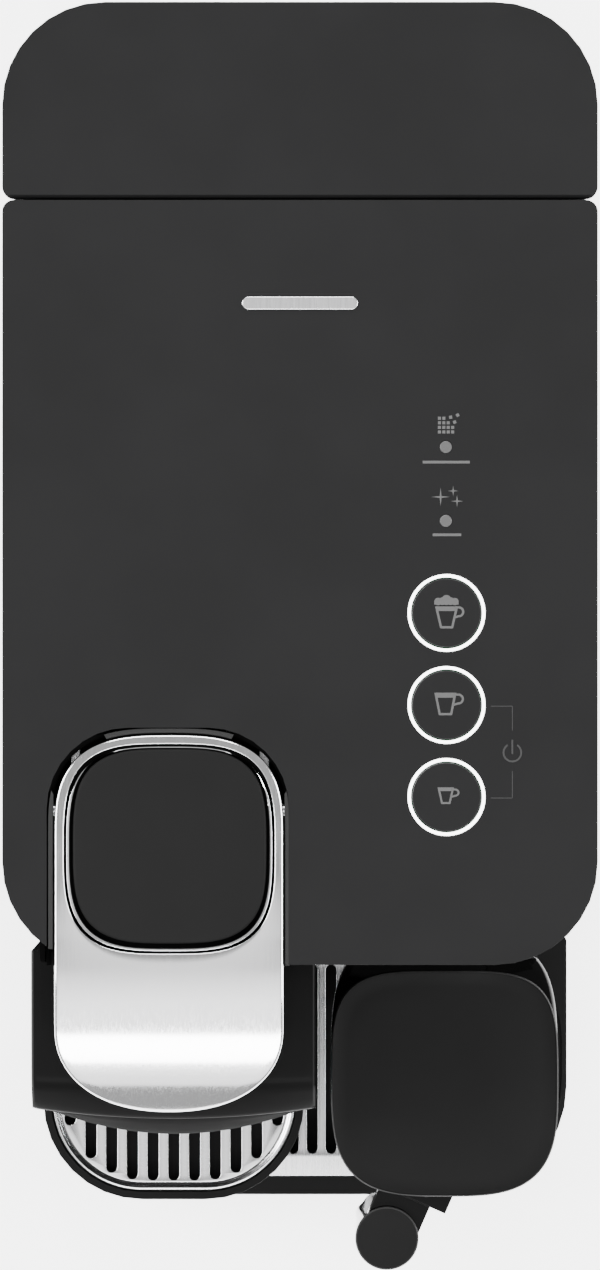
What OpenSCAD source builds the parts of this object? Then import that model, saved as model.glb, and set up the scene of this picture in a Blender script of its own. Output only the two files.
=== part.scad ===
// Pod coffee machine with a rear water tank, a lever brew head and a docked milk jug.
// X runs to the right, Y to the rear and Z up. The origin is on the worktop, below the middle of the footprint.

/* [Body] */
// Width over the side walls
body_w = 154; // [152:1:158]
// Y of the housing's front face
body_front = -82; // [-84:1:-81]
// Y of the housing's rear face, where the water tank starts
body_rear = 115.8; // [112:0.2:118]
// Z of the top surface
top_z = 255; // [255:1:260]
// Radius of the housing's upright corners
body_r = 26.6; // [22:0.2:28]
// Wall thickness of the housing
wall = 2.5; // [2:0.1:3]

/* [Water tank] */
// Y of the rear of the tank and its lid
tank_rear = 167; // [165:1:170]
// Z of the underside of the tank
tank_z = 52; // [48:1:60]
// Wall thickness of the tank
tank_wall = 2.2; // [1.8:0.1:2.6]

/* [Lever] */
// X of the middle of the lever
lever_x = -33.9; // [-34.5:0.1:-33.5]
// Width of the lever
lever_w = 59.4; // [58:0.2:60]
// Y of the lever's rear edge
lever_rear = -22.4; // [-23:0.1:-22.2]
// Y of the lever's front tip
lever_front = -121; // [-122:0.5:-119]
// Y of the lever's axle
axle_y = -42; // [-42.5:0.5:-41.5]
// Z of the lever's axle
axle_z = 249.6; // [249.4:0.1:249.6]
// Radius of the crank that moves the extraction head
crank_r = 22; // [20:1:22]

/* [Brew head] */
// Left side of the brew head
nose_x0 = -70; // [-71:0.5:-69]
// Right side of the brew head
nose_x1 = 4; // [3:0.5:5]
// Y of the foremost point of the brew head
nose_front = -129; // [-130:0.5:-128]
// Z of the underside of the brew head
nose_z = 168; // [166:1:170]

/* [Drip tray] */
// Width of the drip tray
tray_w = 150.4; // [150:0.2:151]
// Y of the front of the drip tray
tray_front = -157; // [-158:0.5:-156]
// Z of the drip tray's rim
tray_z = 27; // [26:0.5:27]
// Pitch of the slots in the drip grid
tray_pitch = 5.4; // [5:0.1:6]

/* [Cup support] */
// X of the middle of the cup support
cup_x = -35.2; // [-35.5:0.1:-35]
// Width of the cup support
cup_w = 72.8; // [70:0.2:73]
// Y of the front of the cup support
cup_front = -154.2; // [-155:0.2:-152]
// Z of the cup support's top
cup_z = 88; // [84:1:90]
// Pitch of the slots in the cup grid
cup_pitch = 5.78; // [5.4:0.02:6]

/* [Milk jug] */
// X of the middle of the milk jug
jug_x = 39.1; // [38.9:0.1:39.5]
// Width of the jug lid
jug_w = 60.6; // [60:0.2:61]
// Y of the rear edge of the jug lid
jug_rear = -84.3; // [-85:0.1:-84]
// Y of the front edge of the jug lid
jug_front = -146.8; // [-147:0.2:-146]
// Z of the jug lid's top
jug_top = 186; // [184:1:188]
// Z of the jug's foot
jug_foot = 50; // [46:1:60]
// Length of the milk spout's arm
arm_l = 44; // [43:0.5:44]
// Angle of the milk spout's arm from straight forward, towards the cup
arm_angle = 23.7; // [20:0.1:26]

/* [Controls] */
// X of the column of buttons
button_x = 37.9; // [36:0.1:40]
// Y of the nearest button to the front
button_y = -38.6; // [-40:0.1:-36]
// Distance between buttons
button_pitch = 23.8; // [22.5:0.1:24]
// Outer radius of a button's light ring
ring_r = 10.1; // [9.5:0.1:10.5]

/* [Hidden] */
$fn = 48;
gap = 0.3;
half_w = body_w / 2;
cover_z = top_z - 3.6;
lid_front = body_rear + 0.4;
tank_front = body_rear + 0.7;
dock_z = tank_z - 2;
lid_axis_y = lid_front + 6;
lid_axis_z = top_z - 3.4;
lid_pin_r = 1;
lever_x0 = lever_x - lever_w / 2;
lever_x1 = lever_x + lever_w / 2;
lever_top = top_z + 1;
lever_bend_y = -84;
lever_drop = 22;
well_x0 = lever_x - 31.6;
well_x1 = lever_x + 31.1;
well_rear = -20.7;
well_r = 21;
pad_x0 = lever_x - 24.4;
pad_x1 = lever_x + 25.4;
pad_y0 = -78.4;
pad_y1 = -26.2;
pad_r = 16.5;
slot_x0 = lever_x - 19.6;
slot_x1 = lever_x + 19.6;
slot_y0 = -87.5;
slot_y1 = -56.5;
brew_z = 204;
axle_r = 1.5;
crank_swing = 40;
crank_y = axle_y + crank_r * sin(crank_swing);
crank_pin_z = axle_z - crank_r * cos(crank_swing);
outlet_y = -110;
chassis_z = 5;
bin_x0 = -66;
bin_x1 = -4;
bin_z = 28.5;
bin_top = 108;
fold_y = -86.5;
fold_z = cup_z + 2;
cup_x0 = cup_x - cup_w / 2;
cup_x1 = cup_x + cup_w / 2;
cup_rear = -91;
jug_x0 = jug_x - jug_w / 2;
jug_x1 = jug_x + jug_w / 2;
collar_z = 150;
collar_top = 167.5;
arm_z0 = 168;
arm_z1 = 177;
cover_low = 177.5;
pivot = [41, -118];
post_r = 8;
arm_cap_r = 8.6;
spout = [pivot[0] - arm_l * sin(arm_angle), -167 + arm_cap_r];
tube_low = 110;
steam_z = 158;
tray_mid = 1.2;
gland_x = -50;
gland_z = 22;
run = 0.05;

// Points along an arc, in steps that suit an upright corner.
function arc(cx, cy, r, a0, a1, n = 8) =
    [for (i = [0:n]) let (a = a0 + (a1 - a0) * i / n) [cx + r * cos(a), cy + r * sin(a)]];

// Rounded rectangle. The radii r are those of the rear right, rear left, front left and front right corners.
function round_box(x0, x1, y0, y1, r) = concat(
    arc(x1 - r[0], y1 - r[0], r[0], 0, 90),
    arc(x0 + r[1], y1 - r[1], r[1], 90, 180),
    arc(x0 + r[2], y0 + r[2], r[2], 180, 270),
    arc(x1 - r[3], y0 + r[3], r[3], 270, 360)
);

module slab(x, y, z, r)
    translate([0, 0, z[0]]) linear_extrude(z[1] - z[0]) polygon(round_box(x[0], x[1], y[0], y[1], r));

module block(x, y, z)
    translate([x[0], y[0], z[0]]) cube([x[1] - x[0], y[1] - y[0], z[1] - z[0]]);

module rod_x(x, y, z, r) translate([x[0], y, z]) rotate([0, 90, 0]) cylinder(h = x[1] - x[0], r = r);
module rod_y(y, x, z, r) translate([x, y[1], z]) rotate([90, 0, 0]) cylinder(h = y[1] - y[0], r = r);
module rod_z(z, x, y, r) translate([x, y, z[0]]) cylinder(h = z[1] - z[0], r = r);

// Solid with a side profile of [y, z] points, as wide as x.
module side_profile(x, points)
    translate([x[0], 0, 0]) rotate([90, 0, 90]) linear_extrude(x[1] - x[0]) polygon(points);

// A straight slot along Y with round ends.
module slot_y(x, y, z, w) {
    block([x - w / 2, x + w / 2], [y[0] + w / 2, y[1] - w / 2], z);
    rod_z(z, x, y[0] + w / 2, w / 2);
    rod_z(z, x, y[1] - w / 2, w / 2);
}

// ---- base ----

foot_places = [[-56, -132], [56, -132], [-58, 146], [58, 146]];

module base_chassis() color([0.12, 0.12, 0.12]) difference() {
    union() {
        slab([tray_mid - 71, tray_mid + 71], [-150, -78], [2, chassis_z], [1, 1, 25, 25]);
        slab([-75, 75], [-80, tank_rear - 2], [2, chassis_z], [24, 24, 24, 24]);
        difference() {
            slab([-75, 75], [-80, tank_rear - 2], [2, 14], [24, 24, 24, 24]);
            slab([-72.5, 72.5], [-77.5, tank_rear - 4.5], [chassis_z, 15], [21.5, 21.5, 21.5, 21.5]);
            block([bin_x0 - 0.6, bin_x1 + 0.6], [-90, -60], [chassis_z, 15]);
        }
        for (p = foot_places) if (p[1] > 0) rod_z([chassis_z - 0.5, 12], p[0], p[1] - 22, 4.5);
    }
    for (p = foot_places) rod_z([1, 3.2], p[0], p[1], 9.2);
    for (p = foot_places) if (p[1] > 0) rod_z([1, 13], p[0], p[1] - 22, 1.7);
    for (i = [-4:4]) slot_y(30 + i * 7, [30, 74], [1, chassis_z + 1], 3);
    block([gland_x - 9, gland_x + 9], [tank_rear - 6, tank_rear], [11, 15]);
}

module rubber_feet() color([0.05, 0.05, 0.05])
    for (p = foot_places) rod_z([0, 3.2], p[0], p[1], 9);

module chassis_screws() color([0.6, 0.6, 0.62])
    for (p = foot_places) if (p[1] > 0) difference() {
        union() {
            rod_z([1, 13.4], p[0], p[1] - 22, 1.6);
            rod_z([0.8, 2], p[0], p[1] - 22, 3.4);
        }
        rod_z([0.5, 1.5], p[0], p[1] - 22, 1.2);
    }

module container_rails() color([0.2, 0.2, 0.2]) {
    block([bin_x0 - 4, bin_x0 - 0.8], [-44, -13], [chassis_z, bin_z - gap]);
    block([bin_x0 - 4, bin_x0 + 4], [-44, -13], [25.8, bin_z - gap]);
    block([bin_x1 + 0.8, bin_x1 + 4], [-44, -13], [chassis_z, bin_z - gap]);
    block([bin_x1 - 4, bin_x1 + 4], [-44, -13], [25.8, bin_z - gap]);
}

// ---- body ----

body_radii = [3, 3, body_r, body_r];

module bin_opening() block([bin_x0 - 0.6, bin_x1 + 0.6], [-92, -60], [chassis_z, bin_top + 2]);
module nose_opening(z1) block([nose_x0 - gap, nose_x1 + gap], [-92, -55], [nose_z - gap, z1]);

module housing() color([0.2, 0.2, 0.2]) difference() {
    slab([-half_w, half_w], [body_front, body_rear], [14, cover_z - 0.1], body_radii);
    slab([-half_w + wall, half_w - wall], [body_front + wall, body_rear - wall], [13, cover_z + 1],
        [2, 2, body_r - wall, body_r - wall]);
    block([-50, 50], [-90, body_front + wall + 1], [20, 247]);
    bin_opening();
    nose_opening(cover_z + 1);
    block([jug_x, jug_x + 15.2], [-90, -70], [142.8, 149.6]);
    // service holes for the tank pipe and the cable
    rod_y([body_rear - 4, body_rear + 1], 20, 34, 6);
    rod_y([body_rear - 4, body_rear + 1], gland_x, gland_z, 6);
}

module front_panel() color([0.1, 0.1, 0.1]) difference() {
    block([-49.7, 49.7], [body_front, body_front + wall], [20.3, 246.7]);
    bin_opening();
    nose_opening(248);
    rod_y([-90, -70], jug_x, steam_z, 10 + run);
    block([jug_x - 15.2, jug_x + 15.2], [-90, -70], [142.8, 149.6]);
}

module well_opening(grow, z)
    slab([well_x0 - grow, well_x1 + grow], [-95, well_rear + grow], z, [well_r + grow, well_r + grow, 1, 1]);

button_places = [for (i = [0:2]) button_y + i * button_pitch];
indicator_places = [32.8, 51.9];

module top_cover() color([0.22, 0.22, 0.22]) difference() {
    union() {
        slab([-half_w, half_w], [body_front, body_rear], [cover_z, top_z], body_radii);
        difference() {
            slab([-half_w + 2.8, half_w - 2.8], [body_front + 2.8, body_rear - 2.8], [cover_z - 4, cover_z + 0.5],
                [2, 2, body_r - 2.8, body_r - 2.8]);
            slab([-half_w + 4.4, half_w - 4.4], [body_front + 4.4, body_rear - 4.4], [cover_z - 5, cover_z + 1],
                [1, 1, body_r - 4.4, body_r - 4.4]);
            block([nose_x0 - 4, 50.5], [-90, -60], [cover_z - 5, cover_z]);
        }
    }
    well_opening(0, [cover_z - 1, top_z + 1]);
    for (y = button_places) rod_z([cover_z - 1, top_z + 1], button_x, y, ring_r + run);
    for (y = indicator_places) rod_z([cover_z - 1, top_z + 1], button_x - 0.2, y, 1.6 + run);
}

module lever_bezel() color([0.08, 0.08, 0.08]) difference() {
    well_opening(-0.05, [cover_z + 1.2, top_z + 0.2]);
    well_opening(-0.85, [cover_z, top_z + 1]);
    block([-90, 10], [-96, body_front + 0.2], [cover_z, top_z + 1]);
}

module lever_well() color([0.1, 0.1, 0.1]) difference() {
    slab([-67.5, -1], [-81.5, -13], [237, cover_z - 0.2], [12, 12, 1, 1]);
    slab([-66, -2.5], [-83, -14.5], [238.5, cover_z], [10.5, 10.5, 1, 1]);
    block([slot_x0, slot_x1], [slot_y0, slot_y1], [230, 240]);
    for (side = [-1, 1]) block([lever_x + side * 27 - 5, lever_x + side * 27 + 5], [-64, -15], [230, 240]);
    // room for the rear of the lever to swing down, and open seats for the axle
    block([lever_x - 30.5, lever_x + 30.5], [-54, -15], [230, 240]);
    rod_x([-70, 2], axle_y, axle_z, axle_r + run);
    block([-70, 2], [axle_y - axle_r - run, axle_y + axle_r + run], [axle_z, cover_z + 1]);
}

nose_mid = (nose_x0 + nose_x1) / 2;
nose_half = (nose_x1 - nose_x0) / 2;
nose_sag = 7.4;
nose_arc_r = (nose_half * nose_half + nose_sag * nose_sag) / (2 * nose_sag);
nose_half_angle = asin(nose_half / nose_arc_r);

// Plan of the brew head: straight sides and a front that is one shallow arc, drawn t inside the outer face.
module nose_plan(t, z) translate([0, 0, z[0]]) linear_extrude(z[1] - z[0]) polygon(concat(
    [[nose_x1 - t, -66], [nose_x0 + t, -66]],
    [for (i = [0:16]) let (a = 270 - nose_half_angle * (1 - t / nose_half) * (1 - i / 8))
        [nose_mid + (nose_arc_r - t) * cos(a), nose_front + nose_arc_r + (nose_arc_r - t) * sin(a)]]));

module nose_cover() color([0.14, 0.14, 0.14]) difference() {
    intersection() {
        nose_plan(0, [nose_z, 246]);
        side_profile([nose_x0 - 2, nose_x1 + 2], [[-66, nose_z], [-140, nose_z], [-140, 205], [-128.5, 212],
            [-123.4, 230.8], [-115.4, 239.2], [-105, 241.2], [-90, 242], [-82.2, 242], [-82.2, 236.7], [-66, 236.7]]);
    }
    intersection() {
        nose_plan(2.5, [nose_z + 2.5, 246]);
        side_profile([nose_x0, nose_x1], [[-60, nose_z], [-140, nose_z], [-140, 205], [-125.8, 212],
            [-121, 228.9], [-114, 236.6], [-104, 238.7], [-90, 239.4], [-84.7, 239.4], [-84.7, 234.2], [-60, 234.2]]);
    }
    block([slot_x0 - 6, slot_x1 + 6], [-80, -60], [nose_z - 1, nose_z + 4]);
    block([slot_x0, slot_x1], [slot_y0, -60], [230, 246]);
    rod_z([nose_z - 1, nose_z + 4], lever_x, outlet_y, 9 + run);
    for (side = [-1, 1]) block([lever_x + side * 27 - 5, lever_x + side * 27 + 5], [-76, -60], [230, 240]);
}

module coffee_outlet() color([0.12, 0.12, 0.12]) difference() {
    union() {
        block([lever_x - 12, lever_x + 12], [-119, -86], [nose_z + 2.6, 186]);
        rod_z([158, nose_z + 3], lever_x, outlet_y, 9);
        for (side = [-1, 1]) rod_z([153, 159], lever_x + side * 4.4, outlet_y, 3.4);
    }
    block([lever_x - 10, lever_x + 10], [-117, -88], [nose_z + 4.6, 187]);
    for (side = [-1, 1]) rod_z([152, 175], lever_x + side * 4.4, outlet_y, 2);
}

// ---- brew unit ----

module brew_frame() color([0.3, 0.3, 0.32]) {
    for (side = [-1, 1]) difference() {
        block([lever_x + side * 21 - 1.6, lever_x + side * 21 + 1.6], [-100, -22], [178, 230]);
        block([lever_x - 30, lever_x + 30], [-101, -24], [198, 210]);
        for (y = [-94, -70, -46]) rod_x([lever_x - 30, lever_x + 30], y, 186, 3);
    }
    difference() {
        block([slot_x0 + 0.2, slot_x1 - 0.2], [-26, -22], [178, 230]);
        rod_y([-27, -21], lever_x, brew_z, 3 + run);
    }
}

module capsule_cage() color([0.5, 0.45, 0.4]) difference() {
    union() {
        rod_y([-58, -28], lever_x, brew_z, 18);
        rod_y([-28, -26.2], lever_x, brew_z, 10);
    }
    rod_y([-59, -33], lever_x, brew_z, 15.2);
    rod_y([-34, -26], lever_x, brew_z, 1.6);
}

module lever_axle() color([0.7, 0.7, 0.72]) rod_x([-67.4, -1.1], axle_y, axle_z, axle_r);

module extraction_head() color([0.16, 0.16, 0.16]) difference() {
    union() {
        rod_y([-66, -58.6], lever_x, brew_z, 17.8);
        block([lever_x - 25.9, lever_x + 25.9], [-65, -60], [199, 209]);
        block([lever_x - 6, lever_x + 6], [-91, -65], [188, 200]);
    }
    rod_y([-62, -58], lever_x, brew_z, 14);
    rod_y([-90, -60], lever_x, 196, 1.8);
    rod_z([187, 197], lever_x, -88, 1.8);
}

// The links run beside the frame from the extraction head to the lever's cranks, which turn in their upright slots.
module head_links() color([0.55, 0.55, 0.58]) for (side = [-1, 1]) {
    x0 = lever_x + side * 24.6 - 1.3;
    difference() {
        union() {
            block([x0, x0 + 2.6], [-60, crank_y + 6], [201, 207]);
            block([x0, x0 + 2.6], [crank_y - 6, crank_y + 6], [201, crank_pin_z + 6]);
        }
        block([x0 - 1, x0 + 4], [crank_y - 2.7, crank_y + 2.7], [axle_z - crank_r - 2.8, crank_pin_z + 2.8]);
    }
}

// ---- lever ----

// Height of the lever's top, or of a surface t below it, at a given Y.
function lever_z(y, t) = let (s = min(1, max(0, (lever_bend_y - y) / (43 - t))))
    lever_top - lever_drop + (lever_drop - t) * sqrt(1 - s * s);

function lever_profile(t) = [for (i = [0:14]) let (y = lever_bend_y - i * (lever_bend_y - lever_front) / 14)
    [y, lever_z(y, t)]];

// Plan of the lever, drawn t inside its outer face.
module lever_plan(t, z) translate([0, 0, z[0]]) linear_extrude(z[1] - z[0]) polygon(concat(
    arc(lever_x1 - 19.4, lever_rear - 19.4, 19.4 - t, 0, 90),
    arc(lever_x0 + 19.4, lever_rear - 19.4, 19.4 - t, 90, 180),
    [for (i = [0:24]) let (a = 180 + i * 7.5)
        [lever_x + (lever_w / 2 - t) * sign(cos(a)) * pow(abs(cos(a)), 0.72),
            lever_front + 24 + (24 - t) * sign(sin(a)) * pow(abs(sin(a)), 0.84)]]));

module lever_shell() color([0.8, 0.8, 0.82]) difference() {
    intersection() {
        union() {
            lever_plan(0, [230, 253.4]);
            lever_plan(0.8, [253.4, 254.4]);
            lever_plan(1.6, [254.4, lever_top + 1]);
        }
        side_profile([lever_x0 - 1, lever_x1 + 1], concat(
            [[lever_rear, 252], [lever_rear, 253.2], [lever_rear - 1.6, top_z], [-34, lever_top]],
            lever_profile(0), [[lever_front - 1, 244], [lever_front - 1, 240]],
            [for (i = [14:-1:0]) lever_profile(4)[i]]));
    }
    slab([pad_x0, pad_x1], [pad_y0, pad_y1], [250, lever_top + 2], [pad_r, pad_r, pad_r, pad_r]);
}

module lever_pad() color([0.18, 0.18, 0.18])
    slab([pad_x0 + gap, pad_x1 - gap], [pad_y0 + gap, pad_y1 - gap], [251.9, top_z + 0.2],
        [pad_r, pad_r, pad_r, pad_r]);

module lever_frame() color([0.12, 0.12, 0.12]) difference() {
    union() {
        slab([lever_x0 + 1.6, lever_x1 - 1.6], [-80, -25], [250, 251.8], [17, 17, 4, 4]);
        for (side = [-1, 1]) {
            x0 = lever_x + side * 27.6 - 1.4;
            block([x0, x0 + 2.8], [axle_y - 3.6, axle_y + 3.6], [axle_z - 3, 250.5]);
            translate([x0, axle_y, axle_z]) rotate([crank_swing, 0, 0])
                translate([0, -2.9, -crank_r]) cube([2.8, 5.8, crank_r]);
            rod_x([x0, x0 + 2.8], crank_y, crank_pin_z, 3.4);
            rod_x([side > 0 ? x0 - 3.5 : x0 + 1, side > 0 ? x0 + 1.8 : x0 + 6.3], crank_y, crank_pin_z, 2);
        }
    }
    rod_x([-70, 2], axle_y, axle_z, axle_r + run);
}

// ---- controls ----

module light_rings() color([0.95, 0.95, 0.95]) for (y = button_places) difference() {
    rod_z([cover_z, top_z], button_x, y, ring_r);
    rod_z([cover_z - 1, top_z + 1], button_x, y, ring_r - 1.1);
}

module button_cap(i) color([0.22, 0.22, 0.22]) {
    rod_z([cover_z - 0.4, top_z], button_x, button_places[i], ring_r - 1.25);
    rod_z([cover_z - 2.2, cover_z], button_x, button_places[i], 3);
}

module button_switches() color([0.3, 0.3, 0.3]) for (y = button_places) {
    block([button_x - 3, button_x + 3], [y - 3, y + 3], [cover_z - 7.8, cover_z - 4.2]);
    rod_z([cover_z - 4.3, cover_z - 3.4], button_x, y, 1.7);
}

module control_panel_board() color([0.1, 0.3, 0.15]) difference() {
    block([18, 58], [-58, 64], [cover_z - 9.4, cover_z - 7.8]);
    for (x = [21, 55], y = [-54, 60]) rod_z([cover_z - 10, cover_z - 7], x, y, 1.6);
}

module indicator_windows() color([0.55, 0.55, 0.55])
    for (y = indicator_places) rod_z([cover_z - 3, top_z], button_x - 0.2, y, 1.6);

module badge_plate() color([0.85, 0.85, 0.85])
    slab([-15, 15], [87.4, 90.8], [top_z, top_z + 0.5], [1.7, 1.7, 1.7, 1.7]);

// ---- water system ----

module tank_dock() color([0.14, 0.14, 0.14]) difference() {
    slab([-half_w + 1, half_w - 1], [body_rear + 0.4, tank_rear - 0.4], [14.2, dock_z], [25, 25, 2, 2]);
    slab([-half_w + 3.5, half_w - 3.5], [body_rear + 2.9, tank_rear - 2.9], [13, dock_z - 2.5], [22.5, 22.5, 1, 1]);
    rod_z([dock_z - 4, dock_z + 1], 20, 141, 8 + run);
    rod_y([body_rear, body_rear + 4], 20, 34, 6);
    rod_y([body_rear, body_rear + 4], gland_x, gland_z, 6);
    // open bay for the cord's gland
    block([gland_x - 10, gland_x + 10], [tank_rear - 6, tank_rear], [13, 33]);
}

module tank_seat() color([0.3, 0.3, 0.3]) difference() {
    union() {
        rod_z([30, dock_z - 1], 20, 141, 8);
        rod_z([dock_z - 5.5, dock_z - 2.6], 20, 141, 11);
        rod_y([body_rear + 3, 141], 20, 34, 3.5);
    }
    rod_z([36, dock_z], 20, 141, 5.2);
}

module water_tank() color([0.25, 0.26, 0.28, 0.5]) difference() {
    union() {
        difference() {
            slab([-half_w + 0.6, half_w - 0.6], [tank_front, tank_rear - 0.2], [tank_z, cover_z - 6.3],
                [26, 26, 2.5, 2.5]);
            slab([-half_w + 0.6 + tank_wall, half_w - 0.6 - tank_wall],
                [tank_front + tank_wall, tank_rear - 0.2 - tank_wall], [tank_z + 3, cover_z], [23.8, 23.8, 1, 1]);
        }
        // two forked lugs carry the lid's pins, with their legs behind the pin so that the lid can open
        for (side = [-1, 1]) {
            block([side * 52 - 5, side * 52 + 5], [tank_front + 1, lid_axis_y + 5], [cover_z - 10.4, lid_axis_z - 7]);
            for (s = [-1, 1]) {
                x0 = side * 52 + s * 3.8 - 1.2;
                block([x0, x0 + 2.4], [lid_axis_y + 1.3, lid_axis_y + 5], [cover_z - 9, lid_axis_z]);
                block([x0, x0 + 2.4], [lid_axis_y, lid_axis_y + 3], [lid_axis_z - 2, lid_axis_z]);
                rod_x([x0, x0 + 2.4], lid_axis_y, lid_axis_z, 2);
            }
        }
    }
    rod_z([tank_z - 1, tank_z + 4], 20, 141, 5 + run);
    rod_x([-60, 60], lid_axis_y, lid_axis_z, lid_pin_r + run);
}

module tank_valve() color([0.85, 0.85, 0.85]) {
    rod_z([tank_z - 10, tank_z + 3], 20, 141, 4);
    rod_z([tank_z + 3, tank_z + 5], 20, 141, 9);
    difference() {
        rod_z([tank_z + 5, tank_z + 20], 20, 141, 8);
        rod_z([tank_z + 4, tank_z + 19], 20, 141, 6.8);
        for (a = [0:45:315]) translate([20, 141, tank_z + 7]) rotate([0, 0, a]) translate([4, -1, 0]) cube([8, 2, 10]);
    }
}

module tank_seal() color([0.1, 0.1, 0.1]) difference() {
    rod_z([tank_z - 5, tank_z - 2.5], 20, 141, 5);
    rod_z([tank_z - 6, tank_z - 2], 20, 141, 4);
}

module tank_lid() color([0.2, 0.2, 0.2]) difference() {
    union() {
        difference() {
            slab([-half_w, half_w], [lid_front, tank_rear], [cover_z - 5.6, top_z], [body_r, body_r, 3, 3]);
            slab([-half_w + 2.4, half_w - 2.4], [lid_front + 2.4, tank_rear - 2.4], [cover_z - 7, top_z - 2.6],
                [24, 24, 1, 1]);
            // pockets around the tank's lugs
            for (side = [-1, 1]) {
                block([side * 52 - 5.8, side * 52 + 5.8], [lid_front - 0.1, lid_axis_y + 5.6],
                    [cover_z - 7, lid_axis_z - 1.5]);
                block([side * 52 - 5.8, side * 52 + 5.8], [lid_axis_y - 3.4, lid_axis_y + 5.6],
                    [cover_z - 7, lid_axis_z + 2.4]);
            }
        }
        for (side = [-1, 1])
            block([side * 52 - 2, side * 52 + 2], [lid_axis_y - 2.4, lid_axis_y + 2.4], [lid_axis_z - 2.4, top_z - 0.8]);
    }
    // ahead of the pins the lid is rounded, so that its front edge turns clear of the housing and the tank
    difference() {
        block([-80, 80], [lid_front - 1, lid_axis_y], [cover_z - 7, top_z + 1]);
        rod_x([-81, 81], lid_axis_y, lid_axis_z, 6.1);
    }
    rod_x([-60, 60], lid_axis_y, lid_axis_z, lid_pin_r + run);
    // finger scoop under the rear edge
    block([-14, 14], [tank_rear - 1.4, tank_rear + 1], [cover_z - 7, cover_z - 2.6]);
}

module tank_lid_pins() color([0.7, 0.7, 0.72])
    for (side = [-1, 1]) rod_x([side * 52 - 4.8, side * 52 + 4.8], lid_axis_y, lid_axis_z, lid_pin_r);

module pump() color([0.6, 0.6, 0.6]) {
    rod_y([20, 44], 42, 70, 9);
    rod_y([44, 76], 42, 70, 19);
    rod_y([76, 96], 42, 70, 8);
    rod_y([96, 104], 42, 70, 3.5);
}

module pump_mounts() color([0.06, 0.06, 0.06]) for (y = [26, 82]) difference() {
    block([28, 56], [y, y + 8], [chassis_z, 84]);
    rod_y([y - 1, y + 9], 42, 70, y < 50 ? 9 : 8);
}

module heater_block() color([0.65, 0.65, 0.67]) difference() {
    union() {
        rod_y([12, 62], lever_x, 176, 27);
        block([lever_x - 12, lever_x + 12], [14, 60], [176, 212]);
        rod_y([-10, 12], lever_x, brew_z, 4);
    }
    for (y = [22, 37, 52]) difference() {
        rod_y([y, y + 3], lever_x, 176, 28);
        rod_y([y - 1, y + 4], lever_x, 176, 24.5);
        block([lever_x - 30, lever_x + 30], [y - 1, y + 4], [176, 214]);
    }
}

module flow_meter() color([0.85, 0.85, 0.85]) {
    rod_z([40, 58], -10, 92, 14);
    rod_y([92, body_rear - 6], -10, 50, 3.5);
    rod_z([46, 50], -10, body_rear - 6, 3.5);
}

module water_hoses() color([0.8, 0.8, 0.78]) {
    rod_y([body_rear - 9, body_rear + 3], 20, 34, 3.5);
    rod_x([-11, 20], body_rear - 6, 34, 3);
    rod_z([34, 46], -10, body_rear - 6, 3);
    rod_z([60, 140], -10, 92, 3);
    rod_y([-18, -11], lever_x, brew_z, 3);
    rod_y([-26, -18], lever_x, brew_z, 3);
    rod_z([86, 152], 42, 2, 2.4);
    rod_y([2, 19], 42, 86, 2.4);
}

module control_board() color([0.1, 0.3, 0.15]) {
    block([70.2, 71.8], [-20, 70], [60, 150]);
    block([56, 70.2], [0, 20], [80, 100]);
    rod_x([58, 70.2], 44, 120, 8);
    block([62, 70.2], [-12, -2], [110, 140]);
}

module steam_connector() color([0.75, 0.75, 0.77]) difference() {
    union() {
        rod_y([body_front - 0.9, -66], jug_x, steam_z, 10);
        rod_y([-66, -56], jug_x, steam_z, 5);
    }
    rod_y([body_front - 2, -70], jug_x, steam_z, 7);
    difference() {
        rod_y([body_front - 2, -60], jug_x, steam_z, 2.4);
        block([0, 80], [-61, -50], [100, 200]);
    }
}

module steam_valve() color([0.7, 0.6, 0.3]) {
    block([jug_x - 10, jug_x + 10], [-56, -34], [148, 168]);
    rod_z([168, 184], jug_x, -45, 7);
}

module jug_hook() color([0.12, 0.12, 0.12]) difference() {
    union() {
        block([jug_x - 15, jug_x + 15], [-85.6, -75], [143, 149.4]);
        block([jug_x - 18, jug_x + 18], [-78.2, -75], [140, 152]);
    }
    rod_y([-90, -60], jug_x, steam_z, 10 + run);
}

module cord_gland() color([0.06, 0.06, 0.06]) difference() {
    union() {
        rod_y([tank_rear - 8, tank_rear - 0.1], gland_x, gland_z, 7);
        block([gland_x - 9.8, gland_x + 9.8], [tank_rear - 2.9, tank_rear - 0.6], [14.3, 32.8]);
    }
    rod_y([tank_rear - 9, tank_rear + 1], gland_x, gland_z, 3.6);
}

// ---- drip tray ----

grid_x = tray_w / 2 - 1.6;
grid_span = [tray_mid - grid_x, tray_mid + grid_x];
grid_front = tray_front + 5.2;
grid_rear = -84.6;
grid_r = 28;

module drip_tray() color([0.12, 0.12, 0.12]) difference() {
    union() {
        slab([tray_mid - tray_w / 2, tray_mid + tray_w / 2], [tray_front, body_front - 0.6], [3, tray_z], [2, 2, 31, 31]);
        block([bin_x0, bin_x1], [-84, -14], [chassis_z + 0.4, 25]);
    }
    slab([tray_mid - 72.6, tray_mid + 72.6], [tray_front + 2.6, body_front], [2, chassis_z + 0.4], [0.6, 0.6, 28.4, 28.4]);
    slab([grid_span[0] - 0.2, grid_span[1] + 0.2], [grid_front - 0.2, grid_rear + 0.2], [tray_z - 1.8, tray_z + 1],
        [grid_r, grid_r, grid_r, grid_r]);
    slab([grid_span[0] + 3, grid_span[1] - 3], [grid_front + 3, grid_rear - 3], [chassis_z + 2.8, tray_z], [25, 25, 25, 25]);
    block([bin_x0 + 2, bin_x1 - 2], [-92, -16], [chassis_z + 2.8, 25.1]);
}

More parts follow.
